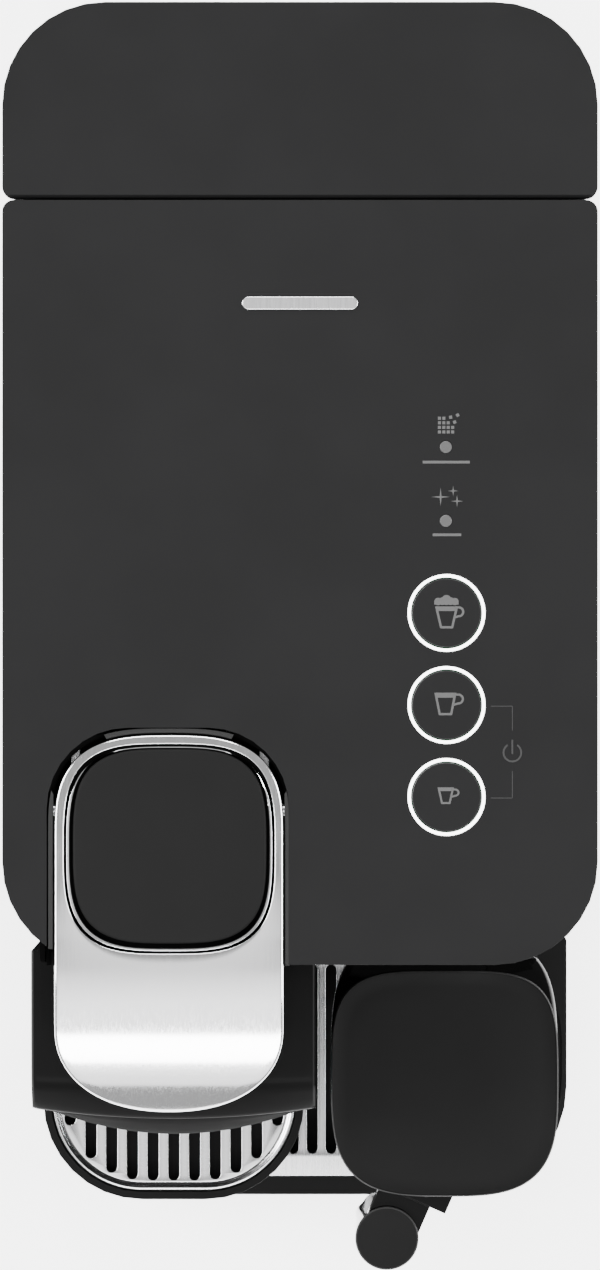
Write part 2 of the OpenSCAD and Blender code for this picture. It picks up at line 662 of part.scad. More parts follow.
// Steel plate with a field of slots whose front ends follow the plate's round corners.
module slotted_plate(x, y, z, r, count, mid, pitch, w, inset) difference() {
    slab(x, y, z, [r, r, r, r]);
    for (i = [0:count - 1]) {
        sx = mid + (i - (count - 1) / 2) * pitch;
        edge = max(0, r - min(sx - x[0], x[1] - sx));
        cut = r - sqrt(r * r - edge * edge);
        slot_y(sx, [y[0] + inset + cut, y[1] - inset - cut], [z[0] - 1, z[1] + 1], w);
    }
}

module drip_grid() color([0.75, 0.75, 0.76])
    slotted_plate(grid_span, [grid_front, grid_rear], [tray_z - 1.7, tray_z - 0.3], grid_r, 22,
        0.8, tray_pitch, 3.05, 6.6);

// ---- capsule container and cup support ----

module capsule_container() color([0.13, 0.13, 0.13]) difference() {
    union() {
        slab([bin_x0, bin_x1], [body_front, -13], [bin_z, bin_top], [6, 6, 14, 4]);
        for (x = [cup_x - 16, cup_x + 12]) {
            block([x, x + 4], [fold_y, body_front + 1], [fold_z - 3.5, fold_z + 3.5]);
            rod_x([x, x + 4], fold_y, fold_z, 3.5);
        }
    }
    difference() {
        slab([bin_x0 + 2, bin_x1 - 2], [body_front + 2.2, -15], [bin_z + 2, bin_top + 1], [4, 4, 12, 2]);
        block([bin_x0, bin_x1], [-90, body_front + 2.2], [bin_z, bin_top + 2]);
    }
    rod_x([cup_x - 20, cup_x + 20], fold_y, fold_z, 1.75);
}

module cup_hinge_pin() color([0.7, 0.7, 0.72]) rod_x([cup_x - 16, cup_x + 16], fold_y, fold_z, 1.75);

cup_r = 27.5;
cup_radii = [18, 18, cup_r, cup_r];

module cup_support() color([0.11, 0.11, 0.11]) difference() {
    union() {
        slab([cup_x0, cup_x1], [cup_front, cup_rear], [cup_z - 12, cup_z], cup_radii);
        block([cup_x - 11.7, cup_x + 11.7], [cup_rear - 1, fold_y], [fold_z - 9, fold_z - 1]);
        rod_x([cup_x - 11.7, cup_x + 11.7], fold_y, fold_z, 3.5);
    }
    slab([cup_x0 + 2.1, cup_x1 - 2.1], [cup_front + 2.1, cup_rear - 2.1], [cup_z - 1.8, cup_z + 0.01],
        [16, 16, cup_r - 2.1, cup_r - 2.1]);
    slab([cup_x0 + 4.6, cup_x1 - 4.6], [cup_front + 4.6, cup_rear - 4.6], [cup_z - 9.6, cup_z],
        [13, 13, cup_r - 4.6, cup_r - 4.6]);
    block([cup_x - 20, cup_x + 20], [cup_rear, fold_y - 3.6], [cup_z, cup_z + 9]);
    rod_x([cup_x - 20, cup_x + 20], fold_y, fold_z, 1.75 + run);
}

module cup_grid() color([0.78, 0.78, 0.79]) difference() {
    slab([cup_x0 + 2.3, cup_x1 - 2.3], [cup_front + 2.3, cup_rear - 2.3], [cup_z - 1.8, cup_z],
        [15.8, 15.8, cup_r - 2.3, cup_r - 2.3]);
    for (i = [-5:5]) {
        sx = cup_x + i * cup_pitch;
        d = max(0, abs(i * cup_pitch) - 8.9);
        slot_y(sx, [cup_front + 6 + 27.5 - sqrt(27.5 * 27.5 - d * d), cup_rear - 7 - max(0, abs(i) - 3) * 2.4],
            [cup_z - 3, cup_z + 1], 3.15);
    }
}

// ---- milk jug ----

jug_body_x = [jug_x - 28.4, jug_x + 28.4];
jug_body_y = [-144.6, -86.4];

module jug_container() color([0.8, 0.82, 0.84, 0.35]) difference() {
    union() {
        slab(jug_body_x, jug_body_y, [jug_foot, collar_z - 0.2], [23, 23, 23, 23]);
        slab([jug_body_x[0] + 2, jug_body_x[1] - 2], [jug_body_y[0] + 2, jug_body_y[1] - 2],
            [collar_z - 1, collar_z + 7], [21, 21, 21, 21]);
    }
    slab([jug_body_x[0] + 4, jug_body_x[1] - 4], [jug_body_y[0] + 4, jug_body_y[1] - 4],
        [jug_foot + 3, collar_z + 8], [19, 19, 19, 19]);
}

module jug_seal() color([0.08, 0.08, 0.08]) difference() {
    slab([jug_body_x[0] + 4.1, jug_body_x[1] - 4.1], [jug_body_y[0] + 4.1, jug_body_y[1] - 4.1],
        [collar_z + 1, collar_z + 4], [19, 19, 19, 19]);
    slab([jug_body_x[0] + 6, jug_body_x[1] - 6], [jug_body_y[0] + 6, jug_body_y[1] - 6],
        [collar_z, collar_z + 5], [17, 17, 17, 17]);
}

module jug_lid_body() color([0.1, 0.1, 0.1]) difference() {
    union() {
        slab([jug_x0 + 0.3, jug_x1 - 0.3], [jug_front + 0.2, -83.2], [collar_z, collar_top], [22, 22, 22, 22]);
        slab([jug_x - 22, jug_x + 22], [-98, -85], [collar_top - 1, cover_low], [8, 8, 2, 2]);
        rod_z([collar_top - 1, cover_low], pivot[0], pivot[1], post_r);
    }
    difference() {
        slab([jug_body_x[0] + 1.7, jug_body_x[1] - 1.7], [jug_body_y[0] + 1.7, jug_body_y[1] - 1.7],
            [collar_z - 1, collar_z + 7.4], [21.3, 21.3, 21.3, 21.3]);
        slab([jug_body_x[0] + 6, jug_body_x[1] - 6], [jug_body_y[0] + 6, jug_body_y[1] - 6],
            [collar_z, collar_z + 9], [17, 17, 17, 17]);
    }
    rod_y([-110, -83], jug_x, steam_z, 2.4);
    rod_z([collar_z - 1, steam_z], 48, -108, 2.5 + run);
}

module jug_lid_cover() color([0.15, 0.15, 0.15]) difference() {
    slab([jug_x0, jug_x1], [jug_front, jug_rear], [cover_low, jug_top], [21, 21, 21, 21]);
    slab([jug_x0 + 2.5, jug_x1 - 2.5], [jug_front + 2.5, -99], [cover_low - 1, jug_top - 3], [3, 3, 18.5, 18.5]);
}

module milk_pickup_tube() color([0.85, 0.85, 0.82]) difference() {
    rod_z([jug_foot + 6, collar_z + 6], 48, -108, 2.5);
    rod_z([jug_foot + 5, collar_z + 7], 48, -108, 1.6);
}

module along_arm() translate([pivot[0], pivot[1], 0]) rotate([0, 0, -arm_angle]) children();

arm_reach = norm(spout - pivot);

module spout_arm() color([0.08, 0.08, 0.08]) difference() {
    along_arm() union() {
        rod_z([arm_z0, arm_z1], 0, 0, 11.7);
        block([-11.7, 11.7], [-arm_reach + 12.2, 0], [arm_z0, arm_z1]);
        block([-7.3, 7.3], [-arm_reach, -20], [arm_z0, arm_z1 - 1.5]);
        rod_z([arm_z0, arm_z1 - 1.5], 0, -arm_reach, 7.3);
    }
    rod_z([arm_z0 - 1, arm_z1 + 1], pivot[0], pivot[1], post_r + run);
    rod_z([arm_z0 - 1, arm_z0 + 4], spout[0], spout[1], 5);
}

module spout_cap() color([0.15, 0.15, 0.15]) rod_z([arm_z1 - 1.5, arm_z1 + 1.2], spout[0], spout[1], arm_cap_r);

module spout_tube() color([0.8, 0.82, 0.84, 0.35]) difference() {
    rod_z([tube_low, arm_z0 - 0.1], spout[0], spout[1], 8.3);
    rod_z([tube_low - 1, arm_z0 - 3], spout[0], spout[1], 6.8);
}

module spout_core() color([0.2, 0.2, 0.2]) {
    rod_z([tube_low + 6, arm_z0 - 3], spout[0], spout[1], 3);
    rod_z([arm_z0 - 0.1, arm_z0 + 3.8], spout[0], spout[1], 4.8);
}

base_chassis();
rubber_feet();
chassis_screws();
container_rails();
housing();
front_panel();
top_cover();
lever_bezel();
lever_well();
nose_cover();
coffee_outlet();
brew_frame();
capsule_cage();
lever_axle();
tank_dock();
tank_seat();
pump();
pump_mounts();
heater_block();
flow_meter();
water_hoses();
control_board();
control_panel_board();
button_switches();
light_rings();
indicator_windows();
badge_plate();
steam_connector();
steam_valve();
jug_hook();
cord_gland();
lever_shell();
lever_pad();
lever_frame();
extraction_head();
head_links();
button_cap(2);  // button_milk
button_cap(1);  // button_long
button_cap(0);  // button_short
water_tank();
tank_valve();
tank_seal();
tank_lid();
tank_lid_pins();
drip_tray();
drip_grid();
capsule_container();
cup_hinge_pin();
cup_support();
cup_grid();
jug_container();
jug_lid_body();
jug_lid_cover();
jug_seal();
milk_pickup_tube();
spout_arm();
spout_cap();
spout_tube();
spout_core();
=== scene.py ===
import math
import bmesh
import bpy
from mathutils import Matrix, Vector


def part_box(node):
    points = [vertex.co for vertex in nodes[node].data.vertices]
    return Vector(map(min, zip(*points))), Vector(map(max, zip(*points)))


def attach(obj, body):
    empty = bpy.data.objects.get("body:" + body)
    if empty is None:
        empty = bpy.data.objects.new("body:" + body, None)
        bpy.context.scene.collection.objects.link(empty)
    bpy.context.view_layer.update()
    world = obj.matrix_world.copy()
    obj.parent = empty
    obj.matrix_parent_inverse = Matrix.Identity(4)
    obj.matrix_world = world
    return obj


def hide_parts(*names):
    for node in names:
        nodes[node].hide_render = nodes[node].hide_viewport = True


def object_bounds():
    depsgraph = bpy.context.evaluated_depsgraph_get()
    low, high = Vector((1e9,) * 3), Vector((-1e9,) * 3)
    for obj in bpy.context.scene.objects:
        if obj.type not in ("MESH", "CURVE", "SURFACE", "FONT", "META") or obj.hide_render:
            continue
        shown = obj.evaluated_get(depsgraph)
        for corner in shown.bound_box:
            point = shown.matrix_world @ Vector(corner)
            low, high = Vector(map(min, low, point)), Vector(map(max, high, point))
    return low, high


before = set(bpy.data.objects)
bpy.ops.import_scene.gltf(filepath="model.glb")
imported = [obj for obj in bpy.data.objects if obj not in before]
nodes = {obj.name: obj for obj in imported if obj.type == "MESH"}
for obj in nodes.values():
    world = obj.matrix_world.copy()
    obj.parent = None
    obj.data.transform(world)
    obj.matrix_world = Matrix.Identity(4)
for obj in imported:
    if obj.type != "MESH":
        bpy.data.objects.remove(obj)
cad_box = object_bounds()

MM = 0.001
TAU = 2 * math.pi


def node_box(name):
    """The lowest and the highest corner of a CAD node at rest, in millimetres, to a tenth."""
    return [tuple(round(v / MM, 1) for v in corner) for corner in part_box(name)]


def middle(low, high):
    return round((low + high) / 2, 1)


# ---------------------------------------------------------------- camera and studio

CAMERA_RISE = 2.1          # metres above the machine's highest point
VIEW_LENGTH = 0.3282       # metres of that height's plane that the frame shows from top to bottom
VIEW_MIDDLE_Y = 0.0033
SENSOR = 36                # millimetres


def look_down_camera():
    """A camera straight above the middle of the machine, as far up as a product camera stands."""
    cam = bpy.data.cameras.new("camera")
    cam.sensor_fit = "VERTICAL"
    cam.sensor_height = SENSOR
    cam.lens = SENSOR * CAMERA_RISE / VIEW_LENGTH
    cam.clip_start = 0.1
    cam.clip_end = 20
    obj = bpy.data.objects.new("camera", cam)
    machine_top = round(cad_box[1][2], 4)
    obj.location = (0, VIEW_MIDDLE_Y, machine_top + CAMERA_RISE)
    bpy.context.scene.collection.objects.link(obj)
    bpy.context.scene.camera = obj


def softbox(name, at, aim, width, depth, power):
    lamp = bpy.data.lights.new(name, "AREA")
    lamp.shape = "RECTANGLE"
    lamp.size = width
    lamp.size_y = depth
    lamp.energy = power
    obj = bpy.data.objects.new(name, lamp)
    obj.location = at
    obj.rotation_euler = (Vector(aim) - Vector(at)).to_track_quat("-Z", "Y").to_euler()
    bpy.context.scene.collection.objects.link(obj)


PATCH_MIDDLE = (0.0, -0.35, 0.937)     # the direction of the sky's brighter patch
PATCH_FADE = (0.12, 0.46)              # it fades between these distances from that direction
PATCH_GLOW, SKY_GLOW = 2.9, 0.5


def sky(tree, back):
    """An even sky with one soft bright patch high up ahead of the machine."""
    coords = tree.nodes.new("ShaderNodeTexCoord")
    away = tree.nodes.new("ShaderNodeVectorMath")
    away.operation = "DISTANCE"
    away.inputs[1].default_value = PATCH_MIDDLE
    tree.links.new(coords.outputs["Generated"], away.inputs[0])
    span = tree.nodes.new("ShaderNodeMapRange")
    span.inputs["From Min"].default_value = PATCH_FADE[0]
    span.inputs["From Max"].default_value = PATCH_FADE[1]
    span.inputs["To Min"].default_value = PATCH_GLOW
    span.inputs["To Max"].default_value = SKY_GLOW
    tree.links.new(away.outputs["Value"], span.inputs["Value"])
    tree.links.new(span.outputs["Result"], back.inputs["Strength"])


BODY_MIDDLE = (0, 0, 0.15)


def studio():
    world = bpy.data.worlds.new("studio")
    world.use_nodes = True
    back = world.node_tree.nodes["Background"]
    back.inputs["Color"].default_value = (1, 1, 1, 1)
    sky(world.node_tree, back)
    bpy.context.scene.world = world
    softbox("front_softbox", (0.0, -1.26, 2.06), (0, -0.08, 0.25), 1.5, 0.5, 34)
    softbox("low_softbox", (-0.07, -1.7, 0.36), (-0.05, -0.12, 0.23), 0.28, 0.4, 1.2)
    softbox("front_lower_softbox", (0.0, -1.62, 1.71), (0, -0.11, 0.25), 1.5, 0.56, 5.2)
    softbox("left_softbox", (-1.7, 0.3, 1.5), BODY_MIDDLE, 1.2, 1.2, 80)
    softbox("right_softbox", (1.7, 0.1, 1.5), BODY_MIDDLE, 1.2, 1.2, 70)
    softbox("rear_softbox", (0.0, 1.9, 1.4), BODY_MIDDLE, 1.4, 0.9, 60)


FLOOR_PAINT = (0.9, 0.9, 0.9)
FLOOR_GLOW = 3.2


def floor():
    """A plain pale floor. It glows evenly as well as being lit, so that it reads nearly white."""
    bpy.ops.mesh.primitive_plane_add(size=8, location=(0, 0, -0.0002))
    plane = bpy.context.object
    plane.name = "floor"
    m = bpy.data.materials.new("floor_paint")
    m.use_nodes = True
    shader = m.node_tree.nodes["Principled BSDF"]
    shader.inputs["Base Color"].default_value = (*FLOOR_PAINT, 1)
    shader.inputs["Roughness"].default_value = 0.85
    shader.inputs["Emission Color"].default_value = (1, 1, 1, 1)
    shader.inputs["Emission Strength"].default_value = FLOOR_GLOW
    plane.data.materials.append(m)


look_down_camera()
studio()
floor()


# ---------------------------------------------------------------- materials

def link(tree, a, b):
    tree.links.new(a, b)


NOISE_SPAN = (0.35, 0.65)      # where nearly all of a noise texture's values lie


class Recipe:
    """A Principled material, with short calls for the nodes that vary it over the surface."""

    def __init__(self, name, color, rough, metal=0.0, **sockets):
        self.mat = bpy.data.materials.new(name)
        self.mat.use_nodes = True
        self.tree = self.mat.node_tree
        self.shader = self.tree.nodes["Principled BSDF"]
        self.color = color
        self.rough = rough
        put = self.shader.inputs
        put["Base Color"].default_value = (*color, 1)
        put["Roughness"].default_value = rough
        put["Metallic"].default_value = metal
        for key, value in sockets.items():      # transmission_weight is "Transmission Weight", ior is "IOR"
            put[key.replace("_", " ").title().replace("Ior", "IOR")].default_value = value
        coords = self.tree.nodes.new("ShaderNodeTexCoord")
        self.place = coords.outputs["Object"]

    def noise(self, size, detail=3.0, stretch=(1, 1, 1), rough=0.5):
        """Noise with features about size metres across."""
        mapping = self.tree.nodes.new("ShaderNodeMapping")
        mapping.inputs["Scale"].default_value = tuple(s / size for s in stretch)
        link(self.tree, self.place, mapping.inputs["Vector"])
        tex = self.tree.nodes.new("ShaderNodeTexNoise")
        tex.inputs["Scale"].default_value = 1.0
        tex.inputs["Detail"].default_value = detail
        tex.inputs["Roughness"].default_value = rough
        link(self.tree, mapping.outputs["Vector"], tex.inputs["Vector"])
        return tex.outputs["Fac"]

    def ramp(self, value, low, high):
        """Noise stretched to run from low to high."""
        node = self.tree.nodes.new("ShaderNodeMapRange")
        node.inputs["From Min"].default_value = NOISE_SPAN[0]
        node.inputs["From Max"].default_value = NOISE_SPAN[1]
        node.inputs["To Min"].default_value = low
        node.inputs["To Max"].default_value = high
        link(self.tree, value, node.inputs["Value"])
        return node.outputs["Result"]

    def vary_color(self, value, amount):
        """The base colour moves between a darker and a lighter one with value."""
        mix = self.tree.nodes.new("ShaderNodeMix")
        mix.data_type = "RGBA"
        low = tuple(c * (1 - amount) for c in self.color)
        high = tuple(min(1, c * (1 + amount)) for c in self.color)
        mix.inputs["A"].default_value = (*low, 1)
        mix.inputs["B"].default_value = (*high, 1)
        link(self.tree, self.ramp(value, 0, 1), mix.inputs["Factor"])
        link(self.tree, mix.outputs["Result"], self.shader.inputs["Base Color"])
        return self

    def vary_rough(self, value, amount):
        link(self.tree, self.ramp(value, self.rough - amount, self.rough + amount),
             self.shader.inputs["Roughness"])
        return self

    def bump(self, value, depth, strength):
        node = self.tree.nodes.new("ShaderNodeBump")
        node.inputs["Distance"].default_value = depth
        node.inputs["Strength"].default_value = strength
        link(self.tree, value, node.inputs["Height"])
        link(self.tree, node.outputs["Normal"], self.shader.inputs["Normal"])
        return self


def moulded(name, color, rough, grain=0.00028, depth=0.00001, strength=0.5, **sockets):
    """Injection-moulded plastic with a fine spark-eroded grain and slight flow variation."""
    r = Recipe(name, color, rough, **{"ior": 1.16, **sockets})
    r.vary_color(r.noise(0.03, 4), 0.05)
    r.vary_rough(r.noise(0.012, 3), 0.03)
    r.bump(r.noise(grain, 2), depth, strength)
    return r.mat


def polished_plastic(name, color, rough=0.08, **sockets):
    """Glossy plastic with the faint waviness of a polished mould and a few hairline marks."""
    r = Recipe(name, color, rough, **sockets)
    r.vary_color(r.noise(0.03, 2), 0.06)
    r.vary_rough(r.noise(0.004, 4, rough=0.7), 0.02)
    r.bump(r.noise(0.02, 1), 0.00004, 0.25)
    return r.mat


def brushed(name, color, rough, along=(1, 0.02, 1), size=0.0004, depth=0.000002):
    """Brushed metal: noise drawn out along one axis roughens and scratches the surface."""
    r = Recipe(name, color, rough, metal=1.0)
    lines = r.noise(size, 3, along, 0.6)
    r.vary_color(lines, 0.04)
    r.vary_rough(lines, 0.05)
    r.bump(lines, depth, 0.4)
    return r.mat


def clear_plastic(name, color, rough, transmission=1.0, ior=1.49):
    """See-through plastic or rubber, very slightly wavy."""
    r = Recipe(name, color, rough, transmission_weight=transmission, ior=ior)
    r.vary_rough(r.noise(0.008, 3), 0.02)
    r.bump(r.noise(0.03, 1), 0.00003, 0.2)
    return r.mat


def lamp_diffuser(name, color, strength):
    """A translucent part in front of a lamp, which glows white."""
    r = Recipe(name, color, 0.4)
    r.vary_color(r.noise(0.002, 2), 0.03)
    r.shader.inputs["Emission Color"].default_value = (1, 1, 1, 1)
    r.shader.inputs["Emission Strength"].default_value = strength
    return r.mat


# The black plastics have a low IOR, which keeps them dark beside the bright floor.
BODY = (0.0088, 0.0088, 0.009)
MATS = {
    "top": moulded("top_plastic", BODY, 0.55),
    "side": moulded("side_plastic", (0.0095, 0.0095, 0.0097), 0.5),
    "inner": moulded("inner_plastic", (0.012, 0.012, 0.012), 0.48),
    "black_satin": moulded("satin_black", (0.006, 0.006, 0.006), 0.34, 0.0004, 0.000006, 0.35),
    "gloss": polished_plastic("gloss_black", (0.0025, 0.0025, 0.0025), 0.05, ior=1.2),
    "nose_matte": moulded("nose_plastic", (0.009, 0.009, 0.009), 0.6, 0.0003, 0.000006, 0.4, ior=1.02),
    "print": moulded("printed_marks", (0.075, 0.075, 0.075), 0.5),
    # the band in the groove round the lever: the top plastic painted about twice as light, a painted lift
    # against the shade in the groove
    "trim_band": moulded("trim_band", (0.019, 0.019, 0.019), 0.45),
    "twist": polished_plastic("twisted_tube", (0.004, 0.004, 0.004), 0.06, ior=1.18),
    # a lighter plastic for thin strips along rounded edges: a painted highlight
    "edge_line": moulded("edge_line", (0.03, 0.03, 0.03), 0.5),
    "faint": moulded("faint_marks", (0.033, 0.033, 0.033), 0.5),
    "nose_gloss": polished_plastic("nose_gloss", (0.0065, 0.0065, 0.0065), 0.16, ior=1.05),
    # near-black for the lever's well, the groove round it and the pad's seat: painted shade in these recesses
    "recess_painted_shade": moulded("recess_painted_shade", (0.001, 0.001, 0.001), 0.6, ior=1.1),
    "pad": moulded("soft_pad", (0.0065, 0.0065, 0.0065), 0.6, 0.0002, 0.000008, 0.5),
    "lid_skin": moulded("jug_lid_skin", (0.0072, 0.0072, 0.0072), 0.6, 0.0002, 0.000008, 0.5),
    "rubber": moulded("rubber", (0.006, 0.006, 0.006), 0.8, 0.0006, 0.00002, 0.6),
    "steel": brushed("brushed_steel", (0.62, 0.62, 0.63), 0.28),
    "grid": brushed("grid_steel", (0.78, 0.78, 0.79), 0.2, (0.02, 1, 1)),
    "chrome": brushed("satin_chrome", (0.86, 0.86, 0.87), 0.12, (1, 0.03, 1), 0.0003, 0.0000006),
    "bright": brushed("bright_chrome", (0.92, 0.92, 0.93), 0.06, (1, 1, 1), 0.002, 0.0000004),
    "cast": brushed("cast_aluminium", (0.5, 0.5, 0.51), 0.42, (1, 1, 1), 0.0012, 0.00002),
    "brass": brushed("turned_brass", (0.6, 0.44, 0.2), 0.3, (1, 1, 0.05)),
    "tank": clear_plastic("smoked_tank", (0.03, 0.03, 0.034), 0.08, 0.8, ior=1.3),
    "clear": clear_plastic("clear_plastic", (0.93, 0.95, 0.96), 0.04),
    "silicone": clear_plastic("silicone", (0.8, 0.8, 0.78), 0.35, 0.5, 1.41),
    "natural": moulded("natural_plastic", (0.62, 0.62, 0.6), 0.45),
    "board": moulded("circuit_board", (0.015, 0.07, 0.03), 0.4, 0.002, 0.00003),
    "ring": lamp_diffuser("ring_light", (0.9, 0.9, 0.9), 7),
    "lens": lamp_diffuser("indicator_lens", (0.055, 0.055, 0.055), 0.0),
    "badge": brushed("satin_badge", (0.85, 0.85, 0.86), 0.22, (1, 0.05, 1)),
}
CAD_LOOK = {
    "top": "top_cover tank_lid button_milk button_long button_short",
    "side": "housing tank_dock",
    "inner": "base_chassis container_rails capsule_container brew_frame extraction_head lever_frame "
             "jug_hook",
    "black_satin": "front_panel coffee_outlet drip_tray cup_support spout_core",
    "recess_painted_shade": "lever_well",
    "gloss": "lever_bezel nose_cover jug_lid_body spout_arm",
    "pad": "lever_pad",
    "lid_skin": "jug_lid_cover spout_cap",
    "rubber": "rubber_feet pump_mounts cord_gland tank_seal jug_seal",
    "steel": "chassis_screws lever_axle head_links tank_lid_pins cup_hinge_pin drip_grid "
             "steam_connector pump",
    "grid": "cup_grid",
    "chrome": "lever_shell",
    "cast": "capsule_cage heater_block",
    "brass": "steam_valve",
    "tank": "water_tank",
    "clear": "jug_container spout_tube",
    "silicone": "water_hoses milk_pickup_tube",
    "natural": "tank_seat flow_meter tank_valve",
    "board": "control_board control_panel_board button_switches",
    "ring": "light_rings",
    "lens": "indicator_windows",
    "badge": "badge_plate",
}
# radius of the rounded edges, in millimetres
EDGE = {"top_cover": 0.35, "tank_lid": 0.35, "housing": 0.6, "nose_cover": 0.8, "drip_tray": 1.0,
        "jug_lid_cover": 0.7, "jug_lid_body": 0.8, "cup_support": 0.6,
        "base_chassis": 0.5, "tank_dock": 0.5, "spout_cap": 0.7}
FINE_EDGE = 0.25


def dress_cad():
    """Every CAD node gets its material, rounded edges and smooth shading. Its mesh stays as it is."""
    for look, names in CAD_LOOK.items():
        for name in names.split():
            obj = nodes[name]
            obj.data.materials.clear()
            obj.data.materials.append(MATS[look])
            for p in obj.data.polygons:
                p.use_smooth = True
            weld = obj.modifiers.new("weld", "WELD")
            weld.merge_threshold = 0.00001
            flat = obj.modifiers.new("flat", "DECIMATE")
            flat.decimate_type = "DISSOLVE"
            flat.angle_limit = math.radians(0.8)
            edge = obj.modifiers.new("edge", "BEVEL")
            edge.width = EDGE.get(name, FINE_EDGE) * MM
            edge.segments = 3
            edge.limit_method = "ANGLE"
            edge.angle_limit = math.radians(32)
            edge.miter_outer = "MITER_ARC"
            normals = obj.modifiers.new("normals", "WEIGHTED_NORMAL")
            normals.keep_sharp = False


dress_cad()


# ---------------------------------------------------------------- mesh building, in millimetres

def piece(name, verts, faces, mat, body, replaces=(), slot=None, sharp=38):
    """A mesh piece in the row frame that rides on a body. verts are in millimetres."""
    mesh = bpy.data.meshes.new(name)
    mesh.from_pydata([(x * MM, y * MM, z * MM) for x, y, z in verts], [], faces)
    bm = bmesh.new()
    bm.from_mesh(mesh)
    bmesh.ops.remove_doubles(bm, verts=bm.verts, dist=1e-6)
    bmesh.ops.recalc_face_normals(bm, faces=bm.faces)
    bm.to_mesh(mesh)
    bm.free()
    mesh.polygons.foreach_set("use_smooth", [True] * len(mesh.polygons))
    mesh.set_sharp_from_angle(angle=math.radians(sharp))
    obj = bpy.data.objects.new(name, mesh)
    bpy.context.scene.collection.objects.link(obj)
    obj.data.materials.append(MATS[mat])
    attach(obj, body)
    if replaces:
        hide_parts(*replaces)
    return obj


def round_rect(x0, x1, y0, y1, radii, n=14):
    """shape(t): a rounded rectangle drawn t inside these sides.

    radii: rear right, rear left, front left, front right.
    """
    def shape(t):
        points = []
        corners = ((x1, y1, -1, -1, 0), (x0, y1, 1, -1, 90), (x0, y0, 1, 1, 180), (x1, y0, -1, 1, 270))
        for (cx, cy, sx, sy, start), r in zip(corners, radii):
            rr = max(r - t, 0.05)
            ox, oy = cx + sx * (t + rr), cy + sy * (t + rr)
            for i in range(n + 1):
                a = math.radians(start + 90 * i / n)
                points.append((ox + rr * math.cos(a), oy + rr * math.sin(a)))
        return points
    return shape


def offset_shape(points):
    """shape(t) for any smooth closed outline, counter-clockwise: points move t along their inward normals."""
    n = len(points)
    normals = []
    for i in range(n):
        (ax, ay), (bx, by) = points[i - 1], points[(i + 1) % n]
        dx, dy = bx - ax, by - ay
        length = math.hypot(dx, dy) or 1
        normals.append((-dy / length, dx / length))
    def shape(t):
        return [(x + nx * t, y + ny * t) for (x, y), (nx, ny) in zip(points, normals)]
    return shape


def join_rings(rings):
    """Quads between closed rings of vertex numbers, each ring joined to the next."""
    faces = []
    n = len(rings[0])
    for a, b in zip(rings, rings[1:]):
        for i in range(n):
            j = (i + 1) % n
            faces.append((a[i], a[j], b[j], b[i]))
    return faces


def loft(shape, profile, cap_first=True, cap_last=True):
    """Rings of shape(t) at height z for each (t, z) of profile, joined in turn."""
    verts, rings = [], []
    for t, z in profile:
        ring = []
        for x, y in shape(t):
            ring.append(len(verts))
            verts.append((x, y, z))
        rings.append(ring)
    faces = join_rings(rings)
    if cap_first:
        faces.append(tuple(reversed(rings[0])))
    if cap_last:
        faces.append(tuple(rings[-1]))
    return verts, faces


def dome(edge, centre, z, rise, steps=8):
    """A shallow crown closing a ring of points: rings drawn in towards the centre."""
    verts, faces = [], []
    n = len(edge)
    for k in range(steps):
        f = 1 - k / steps
        verts += [(centre[0] + (x - centre[0]) * f, centre[1] + (y - centre[1]) * f, z + rise * (1 - f ** 4))
                  for x, y in edge]
    verts.append((centre[0], centre[1], z + rise))
    for k in range(steps - 1):
        for i in range(n):
            j = (i + 1) % n
            faces.append((k * n + i, k * n + j, (k + 1) * n + j, (k + 1) * n + i))
    last = (steps - 1) * n
    faces += [(last + i, last + (i + 1) % n, len(verts) - 1) for i in range(n)]
    return verts, faces


def curl(t0, z0, dt, dz, steps=5):
    """A quarter-round from (t0, z0) to (t0 + dt, z0 + dz), leaving along z and arriving along t."""
    return [(t0 + dt * (1 - math.cos(a)), z0 + dz * math.sin(a))
            for a in (math.pi / 2 * i / steps for i in range(steps + 1))]


def merge(*parts):
    """Several (verts, faces) as one."""
    verts, faces = [], []
    for v, f in parts:
        base = len(verts)
        verts += v
        faces += [tuple(i + base for i in face) for face in f]
    return verts, faces


def lathe(profile, centre, n=48, squash=None):
    """A surface of revolution about the vertical through centre. profile: (r, z), r = 0 closes it."""
    verts, faces, rings = [], [], []
    for r, z in profile:
        if r == 0:
            rings.append([len(verts)])
            verts.append((centre[0], centre[1], z))
            continue
        ring = []
        for i in range(n):
            a = TAU * i / n
            rr = r + (squash(a, z) if squash else 0)
            ring.append(len(verts))
            verts.append((centre[0] + rr * math.cos(a), centre[1] + rr * math.sin(a), z))
        rings.append(ring)
    for a, b in zip(rings, rings[1:]):
        for i in range(n):
            j = (i + 1) % n
            quad = [a[i % len(a)], a[j % len(a)], b[j % len(b)], b[i % len(b)]]
            face = []
            for v in quad:
                if v not in face:
                    face.append(v)
            if len(face) > 2:
                faces.append(tuple(face))
    return verts, faces


